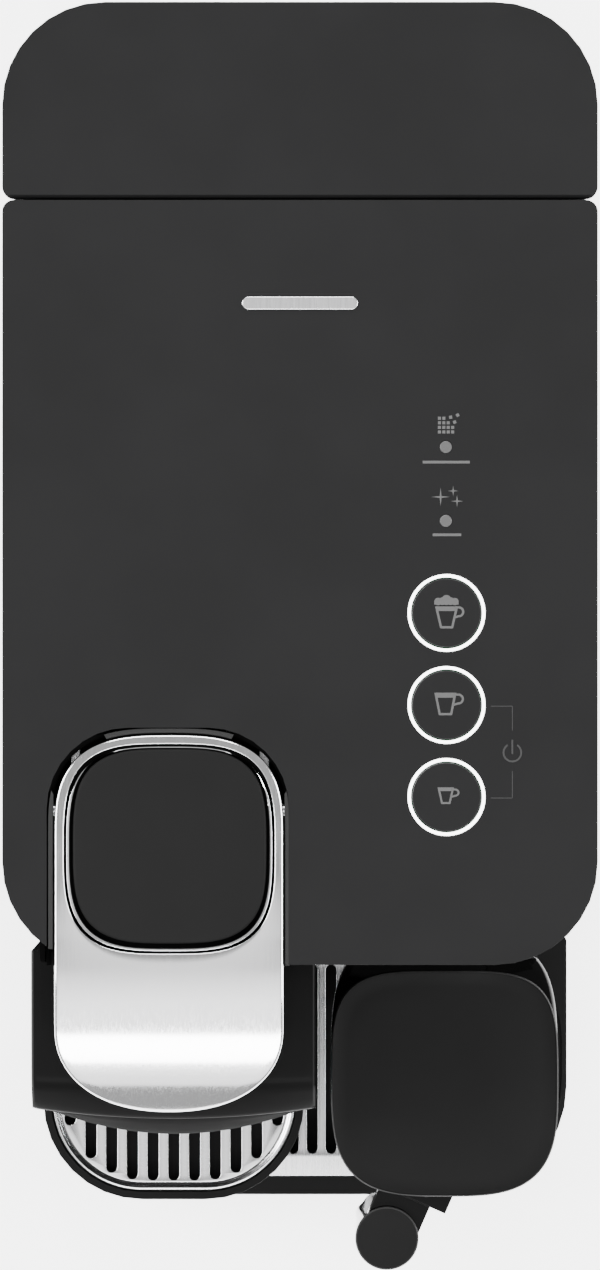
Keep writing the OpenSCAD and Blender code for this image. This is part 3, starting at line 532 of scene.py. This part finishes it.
def plate(name, outline, holes, z0, z1, bevel, mat, body, replaces=(), slot=None, sharp=38):
    """A flat plate with holes and rounded edges, from closed outlines in millimetres."""
    curve = bpy.data.curves.new(name, "CURVE")
    curve.dimensions = "2D"
    curve.fill_mode = "BOTH"
    curve.extrude = ((z1 - z0) / 2 - bevel) * MM
    curve.bevel_depth = bevel * MM
    curve.bevel_resolution = 3
    curve.offset = -bevel * MM
    for ring in [outline] + list(holes):
        spline = curve.splines.new("POLY")
        spline.points.add(len(ring) - 1)
        for p, (x, y) in zip(spline.points, ring):
            p.co = (x * MM, y * MM, 0, 1)
        spline.use_cyclic_u = True
    temp = bpy.data.objects.new(name + "_curve", curve)
    bpy.context.scene.collection.objects.link(temp)
    deps = bpy.context.evaluated_depsgraph_get()
    mesh = bpy.data.meshes.new_from_object(temp.evaluated_get(deps))
    verts = [(v.co.x / MM, v.co.y / MM, v.co.z / MM + (z0 + z1) / 2) for v in mesh.vertices]
    faces = [tuple(p.vertices) for p in mesh.polygons]
    bpy.data.objects.remove(temp)
    bpy.data.curves.remove(curve)
    bpy.data.meshes.remove(mesh)
    return piece(name, verts, faces, mat, body, replaces, slot, sharp)


def slot_ring(x, y0, y1, w, n=8):
    """The outline of a straight slot along Y with round ends."""
    r = w / 2
    ends = ((y1 - r, 0), (y0 + r, 180))
    return [(x + r * math.cos(w), cy + r * math.sin(w))
            for cy, s in ends for w in (math.radians(s + 180 * i / n) for i in range(n + 1))]


# ---------------------------------------------------------------- lever

(lever_left, _, _), (lever_right, _, LEVER_TOP) = node_box("lever_shell")
LEVER_X = middle(lever_left, lever_right)
LEVER_HALF = (lever_right - lever_left) / 2 - 0.05
LEVER_THICK = 4.0
BEND_Y, BEND_LENGTH, BEND_DROP = -83, 44.5, 22     # where the top starts to bend down, over how much, how far
CROSS_CROWN = 0.00035
RAYS = 240


def lever_height(x, y):
    """Height of the lever's top: flat at the rear, then bending down ever more steeply towards the tip."""
    s = max(0.0, (BEND_Y - y) / BEND_LENGTH)
    return LEVER_TOP - BEND_DROP * (1 - math.sqrt(max(0, 1 - s * s))) - CROSS_CROWN * (x - LEVER_X) ** 2


def power_arc(cx, cy, a, b, n, start, stop, steps):
    """Points of the superellipse |x/a|^n + |y/b|^n = 1 between two angles in degrees."""
    out = []
    for i in range(steps + 1):
        w = math.radians(start + (stop - start) * i / steps)
        c, s = math.cos(w), math.sin(w)
        out.append((cx + a * math.copysign(abs(c) ** (2 / n), c),
                    cy + b * math.copysign(abs(s) ** (2 / n), s)))
    return out


def polar(points, centre, count=RAYS):
    """The closed outline resampled on count rays from centre."""
    cx, cy = centre
    ring = [(x - cx, y - cy) for x, y in points]
    out = []
    for k in range(count):
        w = TAU * k / count
        dx, dy = math.cos(w), math.sin(w)
        best = 0
        for (ax, ay), (bx, by) in zip(ring, ring[1:] + ring[:1]):
            ex, ey = bx - ax, by - ay
            den = dx * ey - dy * ex
            if abs(den) < 1e-12:
                continue
            t = (ax * ey - ay * ex) / den
            u = (ax * dy - ay * dx) / den
            if t > 0 and -1e-9 <= u <= 1 + 1e-9:
                best = max(best, t)
        out.append((cx + dx * best, cy + dy * best))
    return out


def lever_outline(grow=0.0, rear=-22.5, tip=-120.6):
    a = LEVER_HALF + grow
    rear += grow
    tip -= grow
    return (power_arc(LEVER_X, rear - 26, a, 26, 2.9, 0, 180, 120)
            + power_arc(LEVER_X, tip + 22, a, 22, 2.2, 180, 360, 120))


def squircle(cx, cy, a, b, n=3.3):
    return power_arc(cx, cy, a, b, n, 0, 360, 360)[:-1]


PAD_C = (-33.7, -51.6)
# centre X and Y, half width and half length of the outlines round the pad
HOLE = (-33.8, -52, 27.3, 27.1)
RING_OUTSIDE = (-33.8, -52, 26.65, 26.5)
RING_INSIDE = (-33.75, -51.75, 25.75, 25.85)
PAD = (-33.7, -51.3, 25.05, 25.2)
PAD_TOP = 255.35
RIM_DROP = 0.2             # how far the flat part of the top falls towards its rim
REAR_DIP = 1.9             # how far the ring and its seat sink behind the pad


def ease(f):
    """0 to 1 with soft ends."""
    f = min(1.0, max(0.0, f))
    return f * f * (3 - 2 * f)


def rear_dip(y):
    """How far the ring round the pad sinks at y: it does so only at the rear."""
    return REAR_DIP * ease((y + 39) / 8)


def rearness(y):
    """1 beside and behind the pad, falling to 0 where the lever starts to bend down."""
    return min(1.0, max(0.0, (y + 84) / 9))


def lever_shell():
    """A plated plate with a hole for the pad: down the hole, over the top, round the rim, back below."""
    outer = offset_shape(polar(lever_outline(), PAD_C))
    hole = offset_shape(polar(squircle(*HOLE), PAD_C))
    verts, rings = [], []

    def add(points, drop):
        ring = []
        for x, y in points:
            ring.append(len(verts))
            verts.append((x, y, lever_height(x, y) - (drop(x, y) if callable(drop) else drop)))
        rings.append(ring)

    def between(start, stop, f):
        return [(a[0] + (b[0] - a[0]) * f, a[1] + (b[1] - a[1]) * f) for a, b in zip(start, stop)]

    for t, drop in ((0, LEVER_THICK), (0, 2.0), (0, 0.3), (-0.06, 0.1), (-0.16, 0.02), (-0.25, 0)):
        add(hole(t), drop)
    start, stop = hole(-0.25), outer(0.75)
    for f in (k / 18 for k in range(1, 18)):
        add(between(start, stop, f), lambda x, y, f=f: RIM_DROP * f * rearness(y))
    for t, drop in ((0.75, 0), (0.5, 0.03), (0.28, 0.14), (0.1, 0.34), (0.0, 0.65), (0.0, 1.6),
                    (0.25, 2.6), (0.8, 3.4), (1.6, 3.85), (2.6, LEVER_THICK)):
        add(outer(t), lambda x, y, d=drop: d + RIM_DROP * rearness(y) * (1 - d / LEVER_THICK))
    stop = outer(2.6)
    for f in (1 - k / 13 for k in range(1, 13)):
        add(between(start, stop, f), LEVER_THICK)
    rings.append(rings[0])
    piece("lever_plated_shell", verts, join_rings(rings), "chrome", "lever", ["lever_shell"], sharp=50)


def lever_pad():
    """The bright ring round the pad, the seat below it painted near-black as shade, and the soft pad itself.
    """
    outside = offset_shape(polar(squircle(*RING_OUTSIDE), PAD_C))
    inside = offset_shape(polar(squircle(*RING_INSIDE), PAD_C))
    verts, rings = [], []
    for points, z in ((outside(0), 254.7), (outside(0), 255.3), (outside(0.12), 255.62),
                      (outside(0.34), 255.78), (inside(-0.3), 255.74), (inside(-0.1), 255.5),
                      (inside(0), 255.1), (inside(0), 254.7)):
        rings.append([len(verts) + i for i in range(RAYS)])
        verts += [(x, y, z - rear_dip(y)) for x, y in points]
    piece("lever_pad_ring", verts, join_rings(rings), "bright", "lever", slot="lever_shell")

    hole = offset_shape(polar(squircle(*HOLE), PAD_C))
    v, f = loft(hole, [(0.04, 252.1), (0.04, 255.2), (0.08, 255.2), (0.1, 253.6), (0.65, 253.6),
                       (0.68, 254.75), (1.4, 254.75), (1.45, 253.2), (2.6, 253.2)], cap_first=False)
    # only the ledge that the ring stands on sinks with it
    v = [(x, y, z - (rear_dip(y) if 254 < z < 255 else 0)) for x, y, z in v]
    # the seat's near-black is painted shade in the gap round the pad
    piece("lever_pad_seat", v, f, "recess_painted_shade", "lever", slot="lever_frame")

    pad = offset_shape(polar(squircle(*PAD), PAD_C))
    profile = [(0.5, 252.2), (0.15, 253.6), (0.0, 254.6)] + curl(0.0, 254.75, 0.75, 0.6)
    v, f = merge(loft(pad, profile, cap_first=False, cap_last=False), dome(pad(0.75), PAD_C, PAD_TOP, 0.22))
    piece("lever_soft_pad", v, f, "pad", "lever", ["lever_pad"])


lever_shell()
lever_pad()


# ---------------------------------------------------------------- well, brew head

def u_outline(grow, rear, front, steps=60):
    """An open U: round rear end like the lever's, straight sides running forward to front."""
    a = LEVER_HALF + grow
    arc = power_arc(LEVER_X, rear - 26 - 0.6, a, 26.6, 2.9, 0, 180, steps)
    right = [(arc[0][0], front + (arc[0][1] - front) * i / 8) for i in range(8)]
    left = [(arc[-1][0], arc[-1][1] + (front - arc[-1][1]) * i / 8) for i in range(1, 9)]
    return right + arc + left


def strip_between(rows):
    """Quads between open rows of points (x, y, z)."""
    verts, faces = [], []
    for row in rows:
        verts += row
    n = len(rows[0])
    for k in range(len(rows) - 1):
        for i in range(n - 1):
            a = k * n + i
            faces.append((a, a + 1, a + n + 1, a + n))
    return verts, faces


WELL_REAR, WELL_FRONT = -22.4, -82.2
# (distance outside the lever, Z) across the groove, and round the band that lies in it
GROOVE = ((1.98, 254.96), (1.9, 253.6), (1.6, 253.3), (0.9, 252.7), (0.9, 250.8))
BAND = ((1.6, 253.2), (1.6, 254.6), (1.52, 254.75), (1.35, 254.8), (0.7, 254.8), (0.48, 254.7),
        (0.34, 254.45), (0.34, 253.2), (1.6, 253.2))
CORNER_Y, CORNER_MIDDLE, CORNER_APART = -36.5, -33.4, 17.5      # the band is broken at the rear corners
RAISED_LEVER_HALF = 29.9


def at_rear_corner(x, y):
    return CORNER_Y < y and abs(x - CORNER_MIDDLE) > CORNER_APART


def clear_of_lever(row):
    """The raised lever stands up between the side bands, so they keep clear of its full width."""
    return [(LEVER_X + math.copysign(max(abs(x - LEVER_X), RAISED_LEVER_HALF), x - LEVER_X), y, z)
            for x, y, z in row]


def bezel():
    """A black groove just inside the top cover, its near-black a painted shade, then a satin band broken at
    the two rear corners, painted lighter than the cover to offset the shade it lies in.
    """
    def row(grow, z):
        return [(x, y, z) for x, y in u_outline(grow, WELL_REAR + grow, WELL_FRONT)]

    v, f = strip_between([row(*g) for g in GROOVE])
    # the groove's near-black is painted shade
    piece("lever_well_groove_shade", v, f, "recess_painted_shade", "machine", ["lever_bezel"])
    rows = [row(*b) for b in BAND]
    n = len(rows[0])
    spans, start = [], None
    for i, (x, y, _) in enumerate(rows[0]):
        corner = at_rear_corner(x, y)
        if not corner and start is None:
            start = i
        if start is not None and (corner or i == n - 1):
            spans.append((start, i))
            start = None
    parts = []
    for a, b in spans:
        part = [r[a:b] for r in rows]
        if a == 0 or b >= n - 1:
            part = [clear_of_lever(r) for r in part]
        verts, faces = strip_between(part)
        m = b - a
        near_end = tuple(k * m for k in range(len(rows) - 1))
        far_end = tuple(k * m + m - 1 for k in range(len(rows) - 1))
        faces += [near_end, far_end[::-1]]
        parts.append((verts, faces))
    # the band's lighter colour is painted light against the groove's shade
    piece("lever_well_band", *merge(*parts), "trim_band", "machine", slot="lever_bezel")


bezel()


# ---------------------------------------------------------------- brew head cover

(nose_left, _, _), (nose_right, _, _) = node_box("nose_cover")
NOSE_MID = middle(nose_left, nose_right)
NOSE_HALF = (nose_right - nose_left) / 2
# Y of the middle, how far the sides fall back from it, and Z: from the rear over the crown to the crease
NOSE_CROWN = ((-79, 0, 242), (-82.2, 0, 242), (-87.5, 0, 241.9), (-91, 0, 241.8), (-98, 0, 241.5),
              (-104, 0.1, 241.1), (-109, 0.3, 240.6), (-112, 0.45, 240.2), (-113.6, 0.6, 239.85),
              (-114.8, 0.8, 239.4), (-115.8, 1.0, 238.7), (-116.8, 1.15, 237.8), (-118, 1.4, 236.6),
              (-119.5, 1.6, 235.1), (-121, 2.0, 233.5), (-122.3, 2.4, 232.1), (-123.0, 2.7, 231.2),
              (-123.2, 2.8, 230.6))
# the same from the crease down the front
NOSE_FRONT = ((-123.2, 2.8, 230.4), (-123.5, 3, 230), (-125.1, 5, 224), (-127.5, 7, 215), (-128.7, 8, 206),
              (-129, 8.2, 198), (-128.6, 8, 185), (-127.4, 7.5, 172), (-126.4, 7.3, 169), (-124, 7, 168))
SLOT_X = (-53.5, -14.3)    # the opening under the lever, through the rear of the crown
SLOT_Y = -87.5
SKIRT_Z = 168.6
SIDE_ROUND = 1.4
ROUND_DOWN, ROUND_BACK = 0.95, 0.6


def nose_row(y, sag, z, columns=40):
    """One row of the cover across its width: (x, y, z, fall), where fall rounds down its ends."""
    row = []
    for i in range(columns + 1):
        u = -1 + 2 * i / columns
        u = math.copysign(1 - (1 - abs(u)) ** 1.35, u)      # columns close up towards the sides
        x = NOSE_MID + NOSE_HALF * u
        inner = NOSE_HALF - SIDE_ROUND
        over = max(0.0, abs(x - NOSE_MID) - inner) / SIDE_ROUND
        fall = SIDE_ROUND * (1 - math.sqrt(max(0.0, 1 - over * over)))
        row.append((x, y + sag * u * u, z - fall * ROUND_DOWN, fall))
    return row


def nose_crown():
    """The glossy cover over the brew head, with its opening and its side walls."""
    rows = [[(x, y, z) for x, y, z, _ in nose_row(*line)] for line in NOSE_CROWN]
    verts = [v for row in rows for v in row]
    faces = []
    n = len(rows[0])
    for k, (row, ahead) in enumerate(zip(rows, rows[1:])):
        for i in range(n - 1):
            mid_x = (row[i][0] + row[i + 1][0]) / 2
            if SLOT_X[0] < mid_x < SLOT_X[1] and ahead[i][1] >= SLOT_Y - 0.01:
                continue
            a = k * n + i
            faces.append((a, a + 1, a + n + 1, a + n))
    for end in (0, n - 1):
        base = len(verts)
        verts += [(row[end][0], row[end][1], SKIRT_Z) for row in rows]
        for k in range(len(rows) - 1):
            faces.append((k * n + end, (k + 1) * n + end, base + k + 1, base + k))
    piece("nose_upper_cover", verts, faces, "nose_gloss", "machine", ["nose_cover"], sharp=35)


def nose_front():
    """The matt panel below the crease. Below its top row the ends round backwards instead of down."""
    rows = []
    for k, line in enumerate(NOSE_FRONT):
        back = ROUND_BACK * min(1, k / 2)
        rows.append([(x, y + fall * back, z + fall * ROUND_DOWN if k else z)
                     for x, y, z, fall in nose_row(*line)])
    piece("nose_front_panel", *strip_between(rows), "nose_matte", "machine", slot="nose_cover", sharp=35)


nose_crown()
nose_front()


# ---------------------------------------------------------------- light rings

(ring_left, ring_front, RING_FOOT), (ring_right, ring_rear, TOP_Z) = node_box("light_rings")
RING_X, RING_MIDDLE = middle(ring_left, ring_right), middle(ring_front, ring_rear)
RING_PITCH = 23.8
RING_Y = (RING_MIDDLE + RING_PITCH, RING_MIDDLE, RING_MIDDLE - RING_PITCH)     # milk, long, short
RING_INNER, RING_OUTER = 9.24, 10.02


def light_rings():
    """The three glowing rings, each a slim tube standing in its groove."""
    shoulder, ease_in = TOP_Z - 0.04, 0.06
    profile = [(RING_INNER, RING_FOOT), (RING_INNER, shoulder), (RING_INNER + ease_in, TOP_Z),
               (RING_OUTER - ease_in, TOP_Z), (RING_OUTER, shoulder), (RING_OUTER, RING_FOOT),
               (RING_INNER, RING_FOOT)]
    parts = [lathe(profile, (RING_X, y), 96) for y in RING_Y]
    piece("glowing_rings", *merge(*parts), "ring", "machine", ["light_rings"])


light_rings()


# ---------------------------------------------------------------- jug lid

LID_C = (38.7, -116.55)


COLLAR_REAR = -83.25


def lid_outline(a, front, rear, n_front, n_rear, count=200):
    """Closed outline of the jug lid: one power curve for the rear half, another for the front half."""
    cx, cy = LID_C
    half = count // 2
    rear_half = power_arc(cx, cy, a, rear, n_rear, 0, 180, half)
    front_half = power_arc(cx, cy, a, front, n_front, 180, 360, half)
    return polar(rear_half + front_half[1:-1], LID_C, count)


def jug_lid():
    """The lid's soft cover with a fine lighter line round its top edge, which is a painted highlight, and the
    glossy collar below it.
    """
    cover = offset_shape(lid_outline(30.3, 30.15, 30.15, 3.25, 4.0))
    side = [(1.6, 178.4), (0.9, 179.2), (0.0, 181.0), (0.0, 185.2), (0.1, 185.6), (0.3, 185.85)]
    lip = [(0.3, 185.85), (0.42, 185.95), (0.55, 185.8), (0.62, 185.75)]
    v, f = merge(loft(cover, side, cap_last=False),
                 loft(cover, lip, cap_first=False, cap_last=False),
                 dome(cover(0.62), LID_C, 185.75, 0.2))
    piece("jug_lid_soft_cover", v, f, "lid_skin", "jug_lid", ["jug_lid_cover"])
    # a lighter strip round the cover's top edge: a painted highlight where the rounded edge catches the light
    line = [(0.02, 184.9), (-0.02, 185.5), (0.1, 185.72), (0.34, 185.98), (0.42, 185.9)]
    v, f = loft(cover, line, cap_first=False, cap_last=False)
    piece("jug_lid_edge_highlight", v, f, "edge_line", "jug_lid", slot="jug_lid_cover")
    collar = offset_shape([(x, min(y, COLLAR_REAR)) for x, y in lid_outline(30.4, 29.9, 38.5, 3.2, 4.0)])
    v, f = loft(collar, [(1.2, 168.0), (0.3, 169.0), (0.0, 170.5), (0.0, 177.2), (0.5, 178.2), (1.6, 178.6)])
    piece("jug_lid_collar", v, f, "gloss", "jug_lid", slot="jug_lid_body")


jug_lid()


# ---------------------------------------------------------------- the two grids

(CUP_LEFT, CUP_FRONT, _), (CUP_RIGHT, CUP_REAR, _) = node_box("cup_grid")
CUP_X = middle(CUP_LEFT, CUP_RIGHT)
CUP_PITCH = 5.78
CUP_SLOT_WIDTH = 3.1
CUP_RADII = (15.8, 15.8, 25.2, 25.2)
CUP_SLOT_REAR = -98.0
CUP_ARC_Y, CUP_ARC_R, CUP_ARC_FROM = -126.6, 22.3, 7.7      # the arc that the slots' front ends follow


def cup_grid():
    """Pressed steel plate: a field of slots inside a rolled rim."""
    rim = round_rect(CUP_LEFT, CUP_RIGHT, CUP_FRONT, CUP_REAR, CUP_RADII, 24)
    roll = [(0.9, 86.25), (0.1, 86.3), (0.0, 87.0), (0.12, 87.5), (0.42, 87.85), (0.85, 87.97),
            (1.25, 87.85), (1.6, 87.55), (1.95, 87.32), (2.5, 87.24), (2.5, 86.4)]
    v, f = loft(rim, roll, cap_first=False, cap_last=False)
    piece("cup_grid_rim", v, f, "grid", "cup_support", ["cup_grid"], sharp=60)
    slots = []
    for i in range(-5, 6):
        over = max(0.0, abs(i) * CUP_PITCH - CUP_ARC_FROM)
        front = CUP_ARC_Y - math.sqrt(CUP_ARC_R ** 2 - over ** 2)
        rear = CUP_SLOT_REAR - max(0, abs(i) - 3) * 2.4
        slots.append(slot_ring(CUP_X + i * CUP_PITCH, front, rear, CUP_SLOT_WIDTH, 12)[::-1])
    plate("cup_grid_plate", rim(2.45), slots, 86.25, 87.3, 0.18, "grid", "cup_support", slot="cup_grid")


DRIP_RADIUS = 28
DRIP_SLOTS, DRIP_PITCH, DRIP_SLOT_WIDTH = 22, 5.4, 3.04
DRIP_SLOT_X = 0.8          # the middle of the field of slots
DRIP_TRIM = 1.9            # the plate stops this far short of its CAD node on the right


def drip_grid():
    """Steel plate of the drip tray, with slots whose ends follow its round corners."""
    (x0, y0, z0), (x1, y1, z1) = node_box("drip_grid")
    r = DRIP_RADIUS
    slots = []
    for i in range(DRIP_SLOTS):
        sx = DRIP_SLOT_X + (i - (DRIP_SLOTS - 1) / 2) * DRIP_PITCH
        edge = max(0, r - min(sx - x0, x1 - sx))
        cut = r - math.sqrt(r * r - edge * edge)
        slots.append(slot_ring(sx, y0 + 6.5 + cut, y1 - 6.6 - cut, DRIP_SLOT_WIDTH, 12)[::-1])
    outline = round_rect(x0, x1 - DRIP_TRIM, y0, y1, (r, r, r, r), 20)
    plate("drip_grid_plate", outline(0), slots, z0, z1, 0.22, "steel", "drip_grid", ["drip_grid"])


cup_grid()
drip_grid()


# ---------------------------------------------------------------- milk spout

FLUTES, FLUTE_DEPTH, FLUTE_TWIST = 9, 0.22, 0.085      # how many, millimetres, radians per millimetre
SPOUT_RADIUS = 8.0
SPOUT_TOP, SPOUT_FOOT, SPOUT_LENGTH = 167.8, 110, 57.6


def spout():
    """The milk spout's fluted tube, its flutes wound round it, and the soft disc on top."""
    low, high = node_box("spout_tube")
    axis = middle(low[0], high[0]), middle(low[1], high[1])

    def flutes(a, z):
        return FLUTE_DEPTH * math.cos(FLUTES * a + (z - SPOUT_FOOT) * FLUTE_TWIST)

    wall = [(SPOUT_RADIUS, SPOUT_TOP - SPOUT_LENGTH * i / 40) for i in range(41)]
    tube = [(7.0, SPOUT_TOP)] + wall + [(7.6, 110.0), (6.6, 110.3), (6.6, 160.0)]
    v, f = lathe(tube, axis, 108, flutes)
    piece("spout_fluted_tube", v, f, "twist", "milk_spout", ["spout_tube"], sharp=60)
    cap = [(0, 175.6), (8.0, 175.6), (8.35, 176.0), (8.45, 177.4), (8.4, 177.75), (8.25, 177.95),
           (8.1, 178.05), (7.9, 177.98), (7.6, 177.95), (0, 178.05)]
    piece("spout_soft_cap", *lathe(cap, axis, 96), "lid_skin", "milk_spout", ["spout_cap"])
    # a lighter ring round the disc's top edge: a painted highlight on its rounded edge
    line = [(8.43, 177.3), (8.5, 177.6), (8.42, 177.9), (8.2, 178.12), (8.05, 178.1)]
    piece("spout_cap_edge_highlight", *lathe(line, axis, 96), "edge_line", "milk_spout", slot="spout_cap")


spout()


# ---------------------------------------------------------------- printed marks

class Marks:
    """Thin printed shapes on a surface at height z, gathered into one mesh."""

    def __init__(self, z=TOP_Z):
        self.z, self.parts = z, []

    def shape(self, ring):
        top = self.z + 0.04 + 0.003 * len(self.parts)      # overlapping shapes never lie level
        n = len(ring)
        verts = [(x, y, self.z - 0.05) for x, y in ring] + [(x, y, top) for x, y in ring]
        faces = [tuple(range(n))[::-1], tuple(range(n, 2 * n))]
        faces += [(i, (i + 1) % n, n + (i + 1) % n, n + i) for i in range(n)]
        self.parts.append((verts, faces))

    def disc(self, x, y, r):
        self.shape([(x + r * math.cos(TAU * i / 28), y + r * math.sin(TAU * i / 28)) for i in range(28)])

    def line(self, x0, y0, x1, y1, width):
        length = math.hypot(x1 - x0, y1 - y0)
        nx, ny = -(y1 - y0) / length * width / 2, (x1 - x0) / length * width / 2
        self.shape([(x0 - nx, y0 - ny), (x1 - nx, y1 - ny), (x1 + nx, y1 + ny), (x0 + nx, y0 + ny)])

    def arc(self, x, y, r, width, start, stop, stretch=1.0, steps=24):
        turn = [math.radians(start + (stop - start) * i / steps) for i in range(steps + 1)]
        for a, b in zip(turn, turn[1:]):
            ring = [(x + (r + d) * stretch * math.cos(w), y + (r + d) * math.sin(w))
                    for d, w in ((-width / 2, a), (width / 2, a), (width / 2, b), (-width / 2, b))]
            self.shape(ring)

    def star(self, x, y, arm, waist):
        """A four-pointed sparkle."""
        self.shape([(x + (arm if i % 2 == 0 else waist) * math.cos(TAU * i / 8),
                     y + (arm if i % 2 == 0 else waist) * math.sin(TAU * i / 8)) for i in range(8)])

    def mug(self, x, y, top, bottom, half_top, half_bottom, band, stroke, grip):
        """A tapering mug drawn in outline with a filled band at its rim. grip: x, y, radius of the handle."""
        lean = (half_top - half_bottom) / (top - bottom)
        def side(z):
            return half_bottom + (z - bottom) * lean
        self.shape([(x - side(top), y + top), (x - side(top - band), y + top - band),
                    (x + side(top - band), y + top - band), (x + side(top), y + top)])
        s = stroke / 2
        for sign in (-1, 1):
            foot = x + sign * (half_bottom - s), y + bottom + s
            self.line(x + sign * (side(top) - s), y + top, *foot, stroke)
            self.disc(*foot, s)
        self.line(x - half_bottom + s, y + bottom + s, x + half_bottom - s, y + bottom + s, stroke)
        gx, gy, gr = grip
        self.arc(x + gx, y + gy, gr, stroke * 0.95, 100, -95, 1.05)
        self.line(x + gx - 0.9, y + gy + gr, x + gx, y + gy + gr, stroke * 0.95)
        self.line(x + gx - 1.2, y + gy - gr - 0.35, x + gx, y + gy - gr, stroke * 0.95)

    def done(self, name, mat, body, slot):
        piece(name, *merge(*self.parts), mat, body, slot=slot, sharp=20)


def drink_marks():
    """A mug on each button, the milk drink's with froth. Each rides on its own button."""
    x0, (milk_y, long_y, short_y) = RING_X, RING_Y
    milk = Marks()
    milk.mug(x0, milk_y, 1.7, -4.0, 3.0, 1.75, 1.2, 0.6, (3.1, 0.3, 1.15))
    milk.shape([(x0 - 3.2, milk_y + 2.15), (x0 + 3.1, milk_y + 2.15),
                (x0 + 3.1, milk_y + 3.2), (x0 - 3.2, milk_y + 3.2)])
    for dx, dy, radius in ((-2.2, 2.95, 0.98), (2.15, 2.95, 0.95), (-0.05, 3.35, 1.3),
                           (-1.1, 3.05, 1.0), (1.05, 3.05, 1.0)):
        milk.disc(x0 + dx, milk_y + dy, radius)
    milk.done("milk_drink_mark", "print", "button_milk", "button")
    long = Marks()
    long.mug(x0 - 0.3, long_y, 3.19, -2.66, 2.88, 1.78, 1.3, 0.6, (3.3, 1.55, 1.15))
    long.done("long_drink_mark", "print", "button_long", "button")
    short = Marks()
    short.mug(x0 - 0.2, short_y, 2.5, -1.82, 2.16, 1.25, 0.95, 0.52, (2.45, 1.15, 0.8))
    short.done("short_drink_mark", "print", "button_short", "button")


DOT_HALF, DOT_CORNER = 0.4, (36.05, 55.8)
DOT_STEP_X, DOT_STEP_Y = 1.14, 1.18
LOOSE_DOT_RADIUS = 0.58


def care_marks():
    """A square of dots coming loose at one corner, three sparkles, and a bar in place of each word."""
    care = Marks()
    h = DOT_HALF
    for row, count in enumerate((4, 4, 3, 2)):
        for i in range(count):
            cx, cy = DOT_CORNER[0] + DOT_STEP_X * i, DOT_CORNER[1] + DOT_STEP_Y * row
            care.shape([(cx - h, cy - h), (cx + h, cy - h), (cx + h, cy + h), (cx - h, cy + h)])
    for cx, cy, turn in ((38.95, 59.6, 12), (40.75, 60.15, 30), (39.98, 58.35, 20)):
        corners = [math.radians(turn + 45 + 90 * i) for i in range(4)]
        care.shape([(cx + LOOSE_DOT_RADIUS * math.cos(w), cy + LOOSE_DOT_RADIUS * math.sin(w))
                    for w in corners])
    care.star(36.35, 39.0, 2.45, 0.33)
    care.star(39.6, 40.55, 1.4, 0.26)
    care.star(40.6, 37.9, 1.65, 0.28)
    care.line(31.7, 48.0, 43.9, 48.0, 0.7)
    care.line(34.3, 29.2, 41.7, 29.2, 0.7)
    care.done("care_marks", "print", "machine", "top_cover")


STANDBY_X, STANDBY_Y = 54.9, -27.1


def standby_marks():
    """A standby sign, with a fine line from it to each of the two lower buttons."""
    power = Marks()
    for points in (((49.3, -15.1), (STANDBY_X, -15.1), (STANDBY_X, -21.4)),
                   ((STANDBY_X, -31.9), (STANDBY_X, -38.85), (49.3, -38.85))):
        for (ax, ay), (bx, by) in zip(points, points[1:]):
            power.line(ax, ay, bx, by, 0.2)
    power.arc(STANDBY_X, STANDBY_Y, 2.3, 0.5, 122, 418)
    power.line(STANDBY_X, -23.75, STANDBY_X, -27.5, 0.5)
    power.done("standby_marks", "faint", "machine", "top_cover")


drink_marks()
care_marks()
standby_marks()
